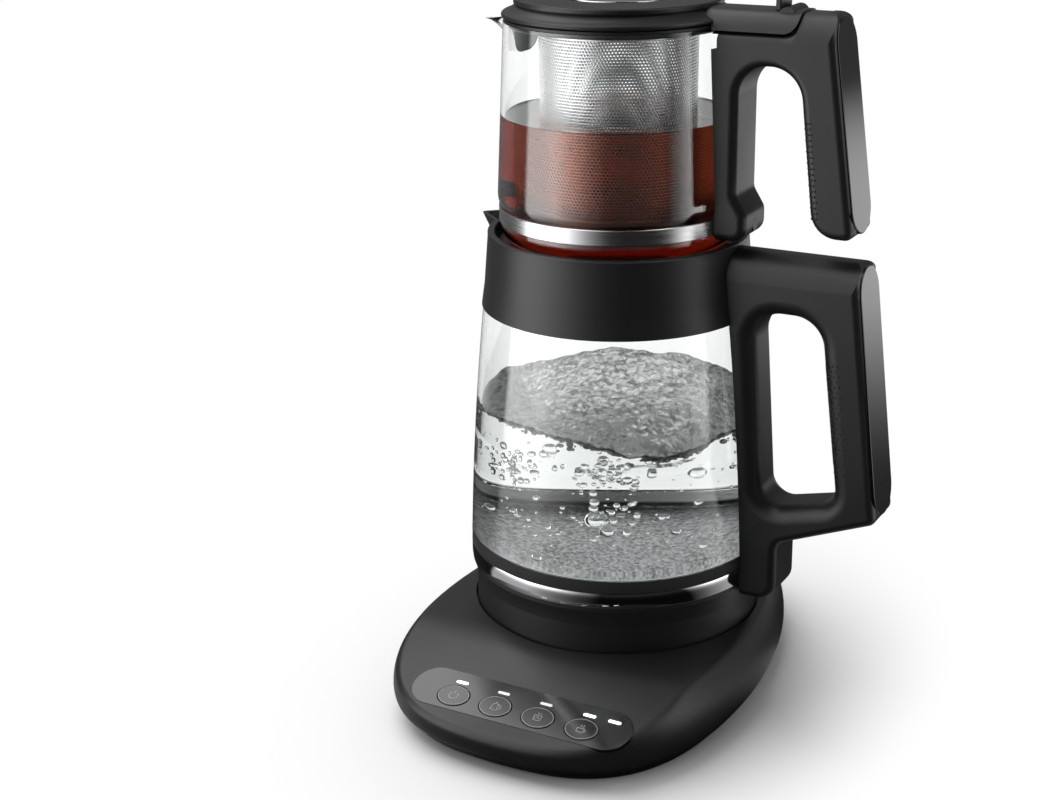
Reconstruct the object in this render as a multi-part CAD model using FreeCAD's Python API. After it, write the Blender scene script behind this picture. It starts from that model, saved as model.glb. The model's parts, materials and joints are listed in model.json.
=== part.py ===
"""Automatic tea maker: power base, glass kettle, glass teapot and hinged lid.

Millimetres, +Z up.  The origin lies on the table, on the axis of the kettle.
The control panel faces -Y, the handles point along +X and both spouts along -X.
"""
import FreeCAD, Part
import math
import os

Vector = FreeCAD.Vector
Z_AXIS = Vector(0, 0, 1)

# ---------------------------------------------------------------- fits
touch = 0.1                     # moulded pieces of one assembly, side by side
running_gap = 0.3               # pieces that slide or turn against each other
screw_gap = 0.1                 # a screw in its hole
screw_radius = 1.5
screw_head_radius = 3.0

# ---------------------------------------------------------------- power base
foot_height = 1.5
foot_radius = 7.0
foot_recess = 1.0
dock_height = 39.0              # table to the face around the kettle
base_half_width = 81.0
base_front = 130.5
base_back = 112.0
widest_line = -23.0             # y of the widest line of the plan
front_power = 2.8               # roundness of the front corners
back_power = 2.3                # roundness of the back corners
back_taper = 0.12               # the plan narrows towards the back
wall_profile = (                # how far the wall stands outside the plan at a height
    (0.0, 1.5), (5.6, 8.0), (8.0, 14.0), (8.0, 20.0), (6.8, 26.0), (4.8, 31.0), (2.0, 35.5), (-1.0, 39.5),
)
edge_radius = 5.0
base_wall = 2.5
seam_height = 5.0
seam_gap = 0.6
seam_depth = 1.0
well_radius = 75.2
well_depth = 4.0
slope_start = -76.0             # y where the top starts to fall to the front
slope_angle = 17.5
slope_blend = 60.0
boss_radius = 4.0
boss_x = 45.0
boss_y = 36.0
foot_x = 50.0
foot_front_y = -96.0
foot_back_y = 84.0

# ---------------------------------------------------------------- control panel
panel_length = 119.0
panel_width = 24.6
panel_thickness = 1.7
panel_depth = 1.5
panel_ledge = 2.5
panel_x = 5.0
panel_y = -116.4
button_length = 17.2
button_width = 13.4
button_height = 1.8
button_stand = 0.3
button_travel = 0.6
stem_radius = 2.5
stem_length = 4.0
first_button_x = -35.4
button_pitch = 23.4
button_y = -3.4
light_length = 6.6
light_width = 1.7
light_depth = 6.0
light_y = 5.9
last_light_shift = 13.2
board_thickness = 1.2
board_length = 96.0
board_width = 23.0
board_post_x = 22.0
board_post_width = 6.0
switch_size = 6.0
switch_height = 2.6
plunger_radius = 1.6
plunger_height = 0.8

# ---------------------------------------------------------------- connector
plug_radius = 16.5
plug_height = 12.0
plug_flange_radius = 21.0
plug_flange = 2.4
pin_radius = 3.9
blade_radius = 10.3
blade_thickness = 1.1
contact_thickness = 0.7
contact_gap = 0.4
socket_wall = 4.0
socket_depth = 14.0
socket_height = 22.0

# ---------------------------------------------------------------- base electrics
power_board_length = 70.0
power_board_width = 36.0
power_board_y = 52.0
power_board_height = 9.0
gland_radius = 4.8
gland_flange_radius = 6.4
gland_flange = 1.4
gland_length = 14.0
gland_lip_gap = 0.4
gland_flat_depth = 0.8
cord_hole_radius = 3.2
gland_height = 16.5
gland_seat = 7.0                # half size of the flat that the gland's flange lies on

# ---------------------------------------------------------------- kettle
skirt_radius = 74.0
skirt_wall = 2.6
skirt_height = 25.0             # from the base's deck to the chrome ring
trim_bottom = dock_height + skirt_height
trim_height = 8.2
trim_radius = 76.5
seal_height = 6.3
glass_wall = 2.6
glass_top_radius = 67.2
glass_mid_radius = 73.2
glass_base_radius = 76.3
glass_belly_height = 73.0
glass_mid_height = trim_bottom + glass_belly_height

collar_seal_height = 2.4
kettle_height = 172.6           # from the chrome ring's foot to the rim
kettle_rim = trim_bottom + kettle_height
collar_height = 37.6
collar_bottom = kettle_rim - collar_height
glass_overlap = 5.0             # the glass stands this far into the collar
glass_top = collar_bottom + glass_overlap
collar_edge = 1.3               # the collar stands this far proud of the glass
collar_bottom_radius = glass_top_radius + collar_edge
collar_knee_drop = 26.6
collar_knee = kettle_rim - collar_knee_drop
collar_knee_inset = 1.6
collar_knee_radius = collar_bottom_radius - collar_knee_inset
collar_top_inset = 2.2
collar_top_radius = collar_knee_radius - collar_top_inset
collar_rim_wall = 3.5
mouth_radius = collar_top_radius - collar_rim_wall

rim_ring_height = 2.6
rim_depth = 7.1                 # from the rim down to the ledge that the teapot stands on
ledge_height = kettle_rim - rim_depth
ledge_thickness = 2.5
ledge_width = 16.2
ledge_bore = mouth_radius - ledge_width
kettle_spout_length = 15.6
kettle_spout_reach = collar_top_radius + kettle_spout_length
kettle_spout_half_width = 21.0
kettle_spout_height = 22.6
kettle_spout_bottom = kettle_rim - kettle_spout_height
spout_wall = 1.8
plate_rise = 5.5
plate_top = trim_bottom + plate_rise
plate_thickness = 0.8
plate_corner = 3.0              # between the plate and its upright flange
plate_flange_gap = 0.4          # from the flange's edge to the foot of the glass
spreader_radius = 54.0
spreader_thickness = 3.0
element_ring_radius = 42.0
element_tube_radius = 3.3
element_open_angle = 36.0
sensor_radius = 3.2
sensor_height = 6.0
sensor_x = -18.0
cover_thickness = 2.0
kettle_boss_ring = 65.5
kettle_boss_radius = 6.2

# ---------------------------------------------------------------- handles
handle_width = 29.0
handle_round = 4.0
handle_corner = 4.6             # outer corners of both handles, seen from the side
grip_round = 8.0
grip_foot_round = 13.0
top_round = 13.4
strip_thickness = 1.8
strip_inset = 1.2
strip_edge = 0.8
strip_end_gap = 1.6             # from the strip's ends to the handle's corners
strip_side_gap = 1.3            # the strip ends where the handle's rounding meets its seat
strip_width = handle_width - 2 * strip_side_gap
pad_width = 15.0
pad_thickness = 1.2
pad_inset = 0.9

kettle_handle_drop = 2.3
kettle_handle_top = kettle_rim - kettle_handle_drop
handle_foot_drop = 7.0
kettle_handle_foot = trim_bottom - handle_foot_drop
kettle_leg_width = 17.0
kettle_leg_x = trim_radius + kettle_leg_width
elbow_rise = 31.7
kettle_elbow = kettle_handle_foot + elbow_rise
heel_rise = 51.6                # the grip's lower end over the handle's foot
grip_foot_reach = 66.8          # from the chrome ring to the grip's lower outer corner
grip_top_reach = 60.0           # from the collar to the grip's upper outer corner
kettle_grip_bottom = (trim_radius + grip_foot_reach, kettle_handle_foot + heel_rise)
kettle_grip_top = (collar_bottom_radius + grip_top_reach, kettle_handle_top)
handle_reach = 2 * kettle_grip_bottom[0]    # well beyond both handles' outer ends
bridge_height = 28.3            # the handle's upper arm
lower_arm_height = 5.9
kettle_hole_top = kettle_handle_top - bridge_height
kettle_hole_foot = kettle_grip_bottom[1] + lower_arm_height
kettle_hole_slant = 9.0
hole_upper_gap = 8.5            # from the collar to the hole
hole_upper_width = 33.6
hole_lower_gap = 7.4            # from the chrome ring to the hole
hole_lower_width = 37.9
kettle_hole_upper_x = collar_bottom_radius + hole_upper_gap
kettle_hole_lower_x = trim_radius + hole_lower_gap
kettle_hole = (
    (kettle_hole_upper_x, kettle_hole_top, 13.0),
    (kettle_hole_upper_x + hole_upper_width, kettle_hole_top, 15.0),
    (kettle_hole_lower_x + hole_lower_width, kettle_hole_foot, 9.0),
    (kettle_hole_lower_x, kettle_hole_foot - kettle_hole_slant, 10.0),
)

# ---------------------------------------------------------------- teapot
teapot_wall = 2.2
teapot_base = ledge_height      # the teapot stands on the kettle's ledge
band_clearance = 2.3            # between the steel band and the kettle's mouth
band_radius = mouth_radius - band_clearance
teapot_base_inset = 9.9
teapot_base_radius = band_radius - teapot_base_inset
teapot_belly_bulge = 0.5
teapot_belly_radius = band_radius + teapot_belly_bulge
teapot_belly_height = 26.5
teapot_belly = teapot_base + teapot_belly_height
teapot_neck_inset = 4.0
teapot_neck_radius = teapot_belly_radius - teapot_neck_inset
teapot_height = 109.3
teapot_rim = teapot_base + teapot_height
teapot_mid_inset = 1.8
teapot_mid_radius = teapot_belly_radius - teapot_mid_inset
teapot_mid_height = 63.5
teapot_mid = teapot_base + teapot_mid_height
band_rise = 12.7
band_bottom = teapot_base + band_rise
band_height = 7.6
band_thickness = 0.8
teapot_spout_length = 18.0
teapot_spout_reach = teapot_neck_radius + teapot_spout_length
teapot_spout_half_width = 13.0
teapot_spout_height = 17.8
teapot_spout_bottom = teapot_rim - teapot_spout_height
teapot_spout_drop = 3.3
teapot_spout_top = teapot_rim - teapot_spout_drop

teapot_foot_rise = 10.1
teapot_handle_foot = teapot_base + teapot_foot_rise
teapot_handle_rise = 9.2
teapot_handle_top = teapot_rim + teapot_handle_rise
teapot_bridge_height = 25.0
teapot_hole_top = teapot_handle_top - teapot_bridge_height
teapot_bar_width = 8.0          # the handle's upright bar beside the glass
teapot_bar_x = band_radius + teapot_bar_width
teapot_foot_bulge = 5.6
teapot_foot_x = teapot_bar_x + teapot_foot_bulge
notch_drop = 9.0                # a window through which the rim of the glass shows
handle_notch_bottom = teapot_rim - notch_drop
notch_height = 6.8
handle_notch_top = handle_notch_bottom + notch_height
handle_notch_depth = 3.2
teapot_grip_rise = 6.4          # the grip's lower end over the handle's foot
teapot_grip_end = teapot_handle_foot + teapot_grip_rise
finger_gap = 29.5               # from the bar to the grip, at the top
grip_slant = 8.9                # the grip's foot stands this far further out than its top
grip_foot_depth = 20.6
grip_top_depth = 15.5
teapot_grip_inner_x = teapot_bar_x + finger_gap
teapot_grip_inner_top = (teapot_grip_inner_x, teapot_hole_top)
teapot_grip_inner_bottom = (teapot_grip_inner_x + grip_slant, teapot_grip_end)
teapot_grip_outer_bottom = (teapot_grip_inner_x + grip_slant + grip_foot_depth, teapot_grip_end)
teapot_grip_outer_top = (teapot_grip_inner_x + grip_top_depth, teapot_handle_top)

# ---------------------------------------------------------------- infuser
basket_gap = 16.8               # between the basket and the outside of the glass
basket_top_radius = teapot_neck_radius - basket_gap
basket_taper = 0.8
basket_base_radius = basket_top_radius - basket_taper
basket_rise = 16.5              # free height under the basket
basket_base = teapot_base + basket_rise
basket_wall = 0.8
infuser_rim_depth = 2.4
infuser_rim_bottom = teapot_rim - infuser_rim_depth
infuser_rim_rise = 1.4
infuser_rim_top = teapot_rim + infuser_rim_rise
infuser_rim_inset = 0.4
infuser_rim_radius = teapot_neck_radius - infuser_rim_inset
strainer_width = 24.0
strainer_height = 15.8

# ---------------------------------------------------------------- lid
lid_rest = 0.5                  # the lid's seal fills this height over the infuser's rim
lid_bottom = infuser_rim_top + lid_rest
lid_overhang = 0.8
lid_flange_radius = teapot_neck_radius + lid_overhang
lid_flange_height = 2.6
lid_flange_round = 1.2
lid_neck_inset = 6.6
lid_neck_radius = lid_flange_radius - lid_neck_inset
lid_slope_height = 5.7
lid_neck = lid_bottom + lid_slope_height
lid_top_bulge = 0.7
lid_top_radius = lid_neck_radius + lid_top_bulge
lid_height = 9.1
lid_top = lid_bottom + lid_height
lid_wall = 2.2
lid_opening = 65.0              # degrees
lid_seat_margin = 21.4
lid_seat_radius = lid_neck_radius - lid_seat_margin
lid_cap_gap = 2.0
lid_cap_radius = lid_seat_radius - lid_cap_gap
lid_cap_rise = 0.3
lid_seat_depth = 0.8
plug_ring_inset = 3.4
plug_ring_radius = basket_top_radius - plug_ring_inset
plug_ring_wall = 2.4
plug_ring_depth = 7.7
plug_ring_bottom = lid_bottom - plug_ring_depth
pivot_reach = 21.3              # from the handle's bar to the lid's hinge
pivot_x = teapot_bar_x + pivot_reach
pivot_drop = 2.5
pivot_z = teapot_handle_top - pivot_drop
pocket_radius = 7.7
arm_radius = 7.1
hinge_pin_radius = 1.2
lug_radius = 2.4
lug_half_width = 3.6
knuckle_radius = 4.2
knuckle_half_width = 9.0
lever_setback = 6.4
lever_x = pivot_x - lever_setback
lever_length = 2.9
lever_width = 14.0
lever_height = 15.0
lever_top = teapot_handle_top + lever_height
lever_peg_width = 1.8
lever_scoop = 0.8
lever_scoop_reach = 18.8
lever_scoop_end = pivot_x + lever_scoop_reach


# ---------------------------------------------------------------- shape helpers
def cylinder(radius, bottom, top, x=0.0, y=0.0):
    return Part.makeCylinder(radius, top - bottom, Vector(x, y, bottom))


def ring(inner, outer, bottom, top):
    return cylinder(outer, bottom, top).cut(cylinder(inner, bottom, top))


def block(x0, x1, y0, y1, z0, z1):
    return Part.makeBox(x1 - x0, y1 - y0, z1 - z0, Vector(x0, y0, z0))


def fuse(shapes):
    whole = shapes[0]
    for shape in shapes[1:]:
        whole = whole.fuse(shape)
    return whole.removeSplitter()


def path(start, *steps):
    """Closed wire in the XZ plane.  A step is (x, z), or (middle, end) of an arc."""
    edges = []
    here = Vector(start[0], 0, start[1])
    for step in steps + (start,):
        if isinstance(step[0], tuple):
            middle = Vector(step[0][0], 0, step[0][1])
            end = Vector(step[1][0], 0, step[1][1])
            edges.append(Part.Arc(here, middle, end).toShape())
        else:
            end = Vector(step[0], 0, step[1])
            if (end - here).Length < 1e-7:
                continue
            edges.append(Part.LineSegment(here, end).toShape())
        here = end
    return Part.Wire(edges)


def revolve(start, *steps):
    return Part.Face(path(start, *steps)).revolve(Vector(0, 0, 0), Z_AXIS, 360)


def rounded(corners):
    """Closed wire in the XZ plane through corners (x, z, radius), each rounded by its radius."""
    edges = []
    first = None
    here = None
    count = len(corners)
    for index, (x, z, radius) in enumerate(corners):
        corner = Vector(x, 0, z)
        before = Vector(corners[index - 1][0], 0, corners[index - 1][1]) - corner
        after = Vector(corners[(index + 1) % count][0], 0, corners[(index + 1) % count][1]) - corner
        before.normalize()
        after.normalize()
        half = before.getAngle(after) / 2
        reach = radius / math.tan(half)
        enter = corner + before * reach
        leave = corner + after * reach
        if here is not None and (enter - here).Length > 1e-7:
            edges.append(Part.LineSegment(here, enter).toShape())
        if radius > 0:
            towards = before + after
            towards.normalize()
            middle = corner + towards * (radius / math.sin(half) - radius)
            edges.append(Part.Arc(enter, middle, leave).toShape())
        first = first or enter
        here = leave
    edges.append(Part.LineSegment(here, first).toShape())
    return Part.Wire(edges)


def slab(wire, width):
    """A wire of the XZ plane, made a plate of the given width about y = 0."""
    face = Part.Face(wire)
    face.translate(Vector(0, -width / 2, 0))
    return face.extrude(Vector(0, width, 0))


def soften(shape, radius, wanted):
    """Round the wanted edges, each given by its centre."""
    edges = [edge for edge in shape.Edges if wanted(edge.CenterOfMass)]
    return shape.makeFillet(radius, edges)


# ---------------------------------------------------------------- power base
def plan(grow, height):
    """The base's outline, grown outwards, as a closed smooth curve at a height."""
    points = []
    count = 40
    for step in range(count):
        angle = 2 * math.pi * (step + 0.5) / count
        side = math.cos(angle)
        ahead = math.sin(angle)
        if ahead < 0:
            power = front_power
            reach = base_front + widest_line + grow
            narrowing = 0.0
        else:
            power = back_power
            reach = base_back - widest_line + grow
            narrowing = back_taper
        along = abs(ahead) ** (2 / power)
        x = (base_half_width * (1 - narrowing * along) + grow) * abs(side) ** (2 / power)
        y = widest_line + math.copysign(reach * along, ahead)
        points.append(Vector(math.copysign(x, side), y, height))
    curve = Part.BSplineCurve()
    curve.interpolate(Points=points, PeriodicFlag=True)
    return Part.Wire([curve.toShape()])


def base_block(inset, floor):
    """The base as one solid, with its wall moved in by inset, standing on a floor height."""
    sections = [plan(out - inset, max(height, floor)) for out, height in wall_profile]
    body = Part.makeLoft(sections, True, False)
    slope = math.radians(slope_angle)
    blend = slope_blend * math.tan(slope / 2)
    level = dock_height - inset
    far = base_front + base_back
    rise = math.tan(slope)
    start = Vector(0, slope_start + blend, level)
    middle_y = slope_start + blend - slope_blend * math.sin(slope / 2)
    middle = Vector(0, middle_y, level - slope_blend * (1 - math.cos(slope / 2)))
    end = Vector(0, slope_start - blend * math.cos(slope), level - blend * math.sin(slope))
    low = Vector(0, -far, end.z - (far + end.y) * rise)
    edges = [
        Part.LineSegment(Vector(0, far, level), start).toShape(),
        Part.Arc(start, middle, end).toShape(),
        Part.LineSegment(end, low).toShape(),
        Part.LineSegment(low, Vector(0, -far, far)).toShape(),
        Part.LineSegment(Vector(0, -far, far), Vector(0, far, far)).toShape(),
        Part.LineSegment(Vector(0, far, far), Vector(0, far, level)).toShape(),
    ]
    above = Part.Face(Part.Wire(edges))
    above.translate(Vector(-far, 0, 0))
    body = body.cut(above.extrude(Vector(2 * far, 0, 0)))
    rim = []
    for edge in body.Edges:
        box = edge.BoundBox
        crossing = box.YLength < 1e-3 and abs(edge.CenterOfMass.x) < 1
        if box.ZMin > floor + 5 and not crossing:
            rim.append(edge)
    return body.makeFillet(edge_radius - inset, rim)


def slope_height(y):
    """Height of the sloping face that carries the control panel."""
    return dock_height + (y - slope_start) * math.tan(math.radians(slope_angle))


def on_panel(shape):
    """Move a shape from the panel's own frame to its place on the slope."""
    placed = shape.copy()
    placed.rotate(Vector(0, 0, 0), Vector(1, 0, 0), slope_angle)
    placed.translate(Vector(panel_x, panel_y, slope_height(panel_y)))
    return placed


def stadium(length, width, bottom, top):
    """A flat bar with round ends, about the origin, along X."""
    end = (length - width) / 2
    middle = block(-end, end, -width / 2, width / 2, bottom, top)
    ends = [cylinder(width / 2, bottom, top, x=side * end) for side in (-1, 1)]
    return fuse([middle] + ends)


def button_places():
    return [(first_button_x + index * button_pitch, button_y) for index in range(4)]


def button_oval(x, y, grow, bottom, top):
    """The oval block of a button, grown outwards, between two heights."""
    outline = Part.Ellipse(Vector(x, y, bottom), button_length / 2 + grow, button_width / 2 + grow)
    return Part.Face(Part.Wire([outline.toShape()])).extrude(Vector(0, 0, top - bottom))


def light_places():
    places = [(x, light_y) for x, _ in button_places()]
    return places + [(places[-1][0] + last_light_shift, light_y)]


def well_floor():
    return dock_height - well_depth


def screw_places():
    return [(side * boss_x, end * boss_y) for side in (-1, 1) for end in (-1, 1)]


def foot_places():
    corners = [(side * foot_x, y) for side in (-1, 1) for y in (foot_front_y, foot_back_y)]
    return corners + [(0.0, 0.0)]


def make_base_covers():
    outer = base_block(0.0, foot_height)
    inner = base_block(base_wall, foot_height + base_wall)
    big = 2 * base_front
    above_seam = block(-big, big, -big, big, seam_height, big)
    below_seam = block(-big, big, -big, big, 0, seam_height)
    top_cover = outer.common(above_seam).cut(inner)
    well_wall = ring(well_radius, well_radius + base_wall, well_floor() - base_wall, big)
    well_wall = well_wall.common(outer)
    opening = cylinder(well_radius, well_floor() - base_wall, big)
    floor = cylinder(well_radius + base_wall / 2, well_floor() - base_wall, well_floor())
    top_cover = fuse([top_cover.cut(opening), well_wall, floor])
    top_cover = top_cover.cut(cylinder(plug_radius + running_gap, 0, dock_height))
    recess = stadium(panel_length + 2 * touch, panel_width + 2 * touch, -panel_depth, big)
    window = stadium(panel_length - 2 * panel_ledge, panel_width - 2 * panel_ledge, -big / 10, 0)
    top_cover = top_cover.cut(on_panel(recess)).cut(on_panel(window))
    for x, y in button_places():
        pocket_floor = -panel_depth - button_travel - running_gap
        pocket = button_oval(x, y, running_gap, pocket_floor, 0)
        top_cover = top_cover.cut(on_panel(pocket))
    half_post = board_post_width / 2
    for side in (-1, 1):
        for end in (-1, 1):
            x = side * board_post_x
            inner_y = end * (panel_width / 2 - panel_ledge)
            outer_y = end * panel_width / 2
            post = block(x - half_post, x + half_post, min(inner_y, outer_y), max(inner_y, outer_y),
                         board_top(), -panel_depth)
            top_cover = top_cover.fuse(on_panel(post))
    for x, y in screw_places():
        boss = cylinder(boss_radius, foot_height + base_wall, well_floor() - base_wall, x=x, y=y)
        top_cover = top_cover.fuse(boss)
    for x, y in screw_places():
        top_cover = top_cover.cut(cylinder(screw_radius + screw_gap / 2, 0, 20, x=x, y=y))

    bottom_cover = outer.common(below_seam).cut(inner)
    big_ring = outer.common(block(-big, big, -big, big, seam_height - seam_gap, seam_height))
    lip = base_block(seam_depth, foot_height)
    bottom_cover = bottom_cover.cut(big_ring.cut(lip))
    for x, y in screw_places():
        bottom_cover = bottom_cover.cut(cylinder(screw_radius + screw_gap, 0, big, x=x, y=y))
        head_top = foot_height + base_wall / 2 + screw_gap
        bottom_cover = bottom_cover.cut(cylinder(screw_head_radius + screw_gap, 0, head_top, x=x, y=y))
    for x, y in foot_places():
        recess = cylinder(foot_radius + touch, 0, foot_height + foot_recess, x=x, y=y)
        bottom_cover = bottom_cover.cut(recess)
    for x, y in standoff_places():
        standoff = cylinder(3.0, foot_height + base_wall, power_board_height, x=x, y=y)
        bottom_cover = bottom_cover.fuse(standoff)
    gland_hole = along_y(gland_radius + touch, base_back - gland_length, base_back + gland_length)
    top_cover = top_cover.cut(gland_hole)
    recess = block(-gland_seat, gland_seat, gland_back(), gland_back() + gland_seat,
                   gland_height - gland_seat, gland_height + gland_seat)
    top_cover = top_cover.cut(recess)
    return top_cover, bottom_cover


def button_top():
    return panel_thickness - panel_depth + button_stand


def board_top():
    """Height of the control board's upper face in the panel's own frame."""
    stem_end = button_top() - button_height - stem_length
    return stem_end - button_travel - touch - plunger_height - switch_height


def standoff_places():
    x = power_board_length / 2 - 5
    y = power_board_width / 2 - 4
    return [(i * x, power_board_y + j * y) for i in (-1, 1) for j in (-1, 1)]


def make_feet():
    return [cylinder(foot_radius, 0, foot_height + foot_recess, x=x, y=y) for x, y in foot_places()]


def make_base_screws():
    screws = []
    head_bottom = foot_height + 0.2
    head_top = foot_height + base_wall / 2
    for x, y in screw_places():
        head = cylinder(screw_head_radius, head_bottom, head_top, x=x, y=y)
        shank = cylinder(screw_radius, head_top, 18, x=x, y=y)
        screws.append(head.fuse(shank))
    return screws


def make_panel():
    plate = stadium(panel_length, panel_width, -panel_depth, panel_thickness - panel_depth)
    for x, y in button_places():
        plate = plate.cut(button_oval(x, y, running_gap, -10, 10))
    for x, y in light_places():
        hole = stadium(light_length + touch, light_width + touch, -10, 10)
        hole.translate(Vector(x, y, 0))
        plate = plate.cut(hole)
    return on_panel(plate)


def make_button(x, y):
    top = button_top()
    cap = button_oval(x, y, 0, top - button_height, top)
    rim = [edge for edge in cap.Edges if abs(edge.CenterOfMass.z - top) < 1e-3 and len(edge.Vertexes) == 1]
    cap = cap.makeFillet(0.4, rim)
    stem = cylinder(stem_radius, top - button_height - stem_length, top - button_height, x=x, y=y)
    return on_panel(cap.fuse(stem))


def make_lights():
    lights = []
    for x, y in light_places():
        pipe = stadium(light_length, light_width, -light_depth, panel_thickness - panel_depth)
        pipe.translate(Vector(x, y, 0))
        lights.append(on_panel(pipe))
    return lights


def make_control_board():
    top = board_top()
    half_length = board_length / 2
    half_width = board_width / 2
    board = block(-half_length, half_length, -half_width, half_width, top - board_thickness, top)
    return on_panel(board)


def make_switches():
    top = board_top()
    half = switch_size / 2
    switches = []
    for x, y in button_places():
        case = block(x - half, x + half, y - half, y + half, top, top + switch_height)
        plunger_foot = top + switch_height
        plunger = cylinder(plunger_radius, plunger_foot, plunger_foot + plunger_height, x=x, y=y)
        switches.append(on_panel(case.fuse(plunger)))
    return switches


def make_base_connector():
    floor = well_floor()
    top = floor + plug_height
    flange = cylinder(plug_flange_radius, floor - base_wall - plug_flange, floor - base_wall)
    body = cylinder(plug_radius, floor - base_wall, top)
    slot_floor = floor + 1.0
    sleeve_outer = pin_radius + contact_gap + contact_thickness
    blade_outer = blade_radius + blade_thickness
    slot_outer = blade_outer + contact_gap + contact_thickness
    housing = flange.fuse(body)
    housing = housing.cut(cylinder(sleeve_outer + touch, slot_floor, top))
    housing = housing.cut(ring(blade_radius - contact_gap, slot_outer + touch, slot_floor, top))
    sleeve = ring(sleeve_outer - contact_thickness, sleeve_outer, slot_floor, top - 1)
    outer_ring = ring(slot_outer - contact_thickness, slot_outer, slot_floor, top - 1)
    return housing, [sleeve, outer_ring]


def make_power_board():
    half_length = power_board_length / 2
    half_width = power_board_width / 2
    bottom = power_board_height
    top = bottom + 1.6
    front = power_board_y - half_width
    back = power_board_y + half_width
    board = block(-half_length, half_length, front, back, bottom, top)
    relay = block(-28, -9, power_board_y - 8, power_board_y + 7, top, top + 15)
    transformer = block(8, 30, power_board_y - 10, power_board_y + 8, top, top + 14)
    capacitor = cylinder(5.0, top, top + 13, x=0, y=power_board_y + 8)
    return board, relay, transformer, capacitor


def along_y(radius, start, end):
    """A round bar along Y at the height of the cord's way in."""
    return Part.makeCylinder(radius, end - start, Vector(0, start, gland_height), Vector(0, 1, 0))


def gland_back():
    """y of the flat that the gland's flange lies on."""
    return base_back + max(out for out, _ in wall_profile) - gland_flat_depth


def make_gland():
    """The sleeve that lines the cord's way in through the back wall."""
    back = gland_back()
    lip = back - base_wall - gland_lip_gap
    barrel = along_y(gland_radius, back - gland_length, back)
    flange = along_y(gland_flange_radius, back, back + gland_flange)
    stop = along_y(gland_flange_radius, lip - gland_flange, lip)
    bore = along_y(cord_hole_radius, back - gland_length, back + gland_flange)
    return fuse([barrel, flange, stop]).cut(bore)


# ---------------------------------------------------------------- kettle
def seal_bottom():
    return trim_bottom + trim_height


def seal_top():
    return seal_bottom() + seal_height


def glass_outside(offset):
    """The kettle glass's outer surface, moved out by offset, as a solid of revolution."""
    return revolve(
        (0, seal_top()),
        (glass_base_radius + offset, seal_top()),
        ((glass_mid_radius + offset, glass_mid_height), (glass_top_radius + offset, glass_top)),
        (0, glass_top),
    )


def make_kettle_glass():
    return glass_outside(0.0).cut(glass_outside(-glass_wall))


def collar_radius(height):
    """Outer radius of the collar above its knee."""
    share = (height - collar_knee) / (kettle_rim - collar_knee)
    return collar_knee_radius + (collar_top_radius - collar_knee_radius) * share


def spout_wedge(reach, half_width, root, tip_round, inset, bottom, top, foot_x, foot_half):
    """A pouring lip: a three-sided funnel that widens upwards, from foot_x out to reach."""
    top_wire = rounded([
        (-root, half_width - inset, 0),
        (-reach + 1.4 * inset, 0, tip_round),
        (-root, -half_width + inset, 0),
    ])
    low_wire = rounded([
        (-root, foot_half - inset, 0), (-foot_x + 1.4 * inset, 0, tip_round), (-root, -foot_half + inset, 0),
    ])
    for wire, height in ((top_wire, top), (low_wire, bottom)):
        wire.rotate(Vector(0, 0, 0), Vector(1, 0, 0), -90)
        wire.translate(Vector(0, 0, height))
    return Part.makeLoft([low_wire, top_wire], True, True)


def kettle_spout(inset, lift):
    root = mouth_radius - 6.0
    top = kettle_rim + 3.0
    foot = collar_radius(kettle_spout_bottom) - 0.5
    wedge = spout_wedge(kettle_spout_reach, kettle_spout_half_width, root, 2.5, inset,
                        kettle_spout_bottom + lift, top, foot, kettle_spout_half_width * 0.45)
    return wedge


def make_collar():
    ring_bottom = kettle_rim - rim_ring_height
    shell = revolve(
        (0, collar_bottom),
        (collar_bottom_radius, collar_bottom),
        (collar_knee_radius, collar_knee),
        (collar_radius(ring_bottom), ring_bottom),
        (0, ring_bottom),
    )
    body = shell.fuse(kettle_spout(0.0, 0.0)).cut(kettle_spout(spout_wall, 6.0))
    body = body.cut(glass_outside(touch))
    body = body.cut(cylinder(glass_top_radius + touch, glass_top, glass_top + collar_seal_height))
    body = body.cut(cylinder(mouth_radius, 0, ledge_height - ledge_thickness))
    body = body.cut(cylinder(ledge_bore, 0, kettle_rim + 20))
    body = body.cut(cylinder(mouth_radius, ledge_height, kettle_rim + 20))
    above = block(-100, 0, -40, 40, kettle_rim, kettle_rim + 20)
    return body.cut(above).removeSplitter()


def make_rim_ring():
    bottom = kettle_rim - rim_ring_height
    outer = collar_radius(bottom)
    band = revolve(
        (mouth_radius, bottom),
        (outer, bottom),
        (outer, kettle_rim - 0.8),
        ((outer - 0.25, kettle_rim - 0.25), (outer - 0.9, kettle_rim)),
        (mouth_radius + 0.9, kettle_rim),
        ((mouth_radius + 0.25, kettle_rim - 0.25), (mouth_radius, kettle_rim - 0.8)),
    )
    return band.cut(kettle_spout(-touch, 0.0))


def make_collar_seal():
    """The soft ring between the top edge of the glass and the collar."""
    return ring(glass_top_radius - glass_wall, glass_top_radius, glass_top, glass_top + collar_seal_height)


def skirt_outside():
    shoulder = trim_bottom - 11
    rim = trim_radius - running_gap
    return revolve(
        (0, well_floor()),
        (skirt_radius, well_floor()),
        (skirt_radius, shoulder),
        ((skirt_radius + 0.9, trim_bottom - 6), (rim, trim_bottom - 2)),
        (rim, trim_bottom),
        (0, trim_bottom),
    )


def kettle_boss_places():
    return [(kettle_boss_ring * math.cos(math.radians(a)), kettle_boss_ring * math.sin(math.radians(a)))
            for a in (90, 210, 330)]


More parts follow.
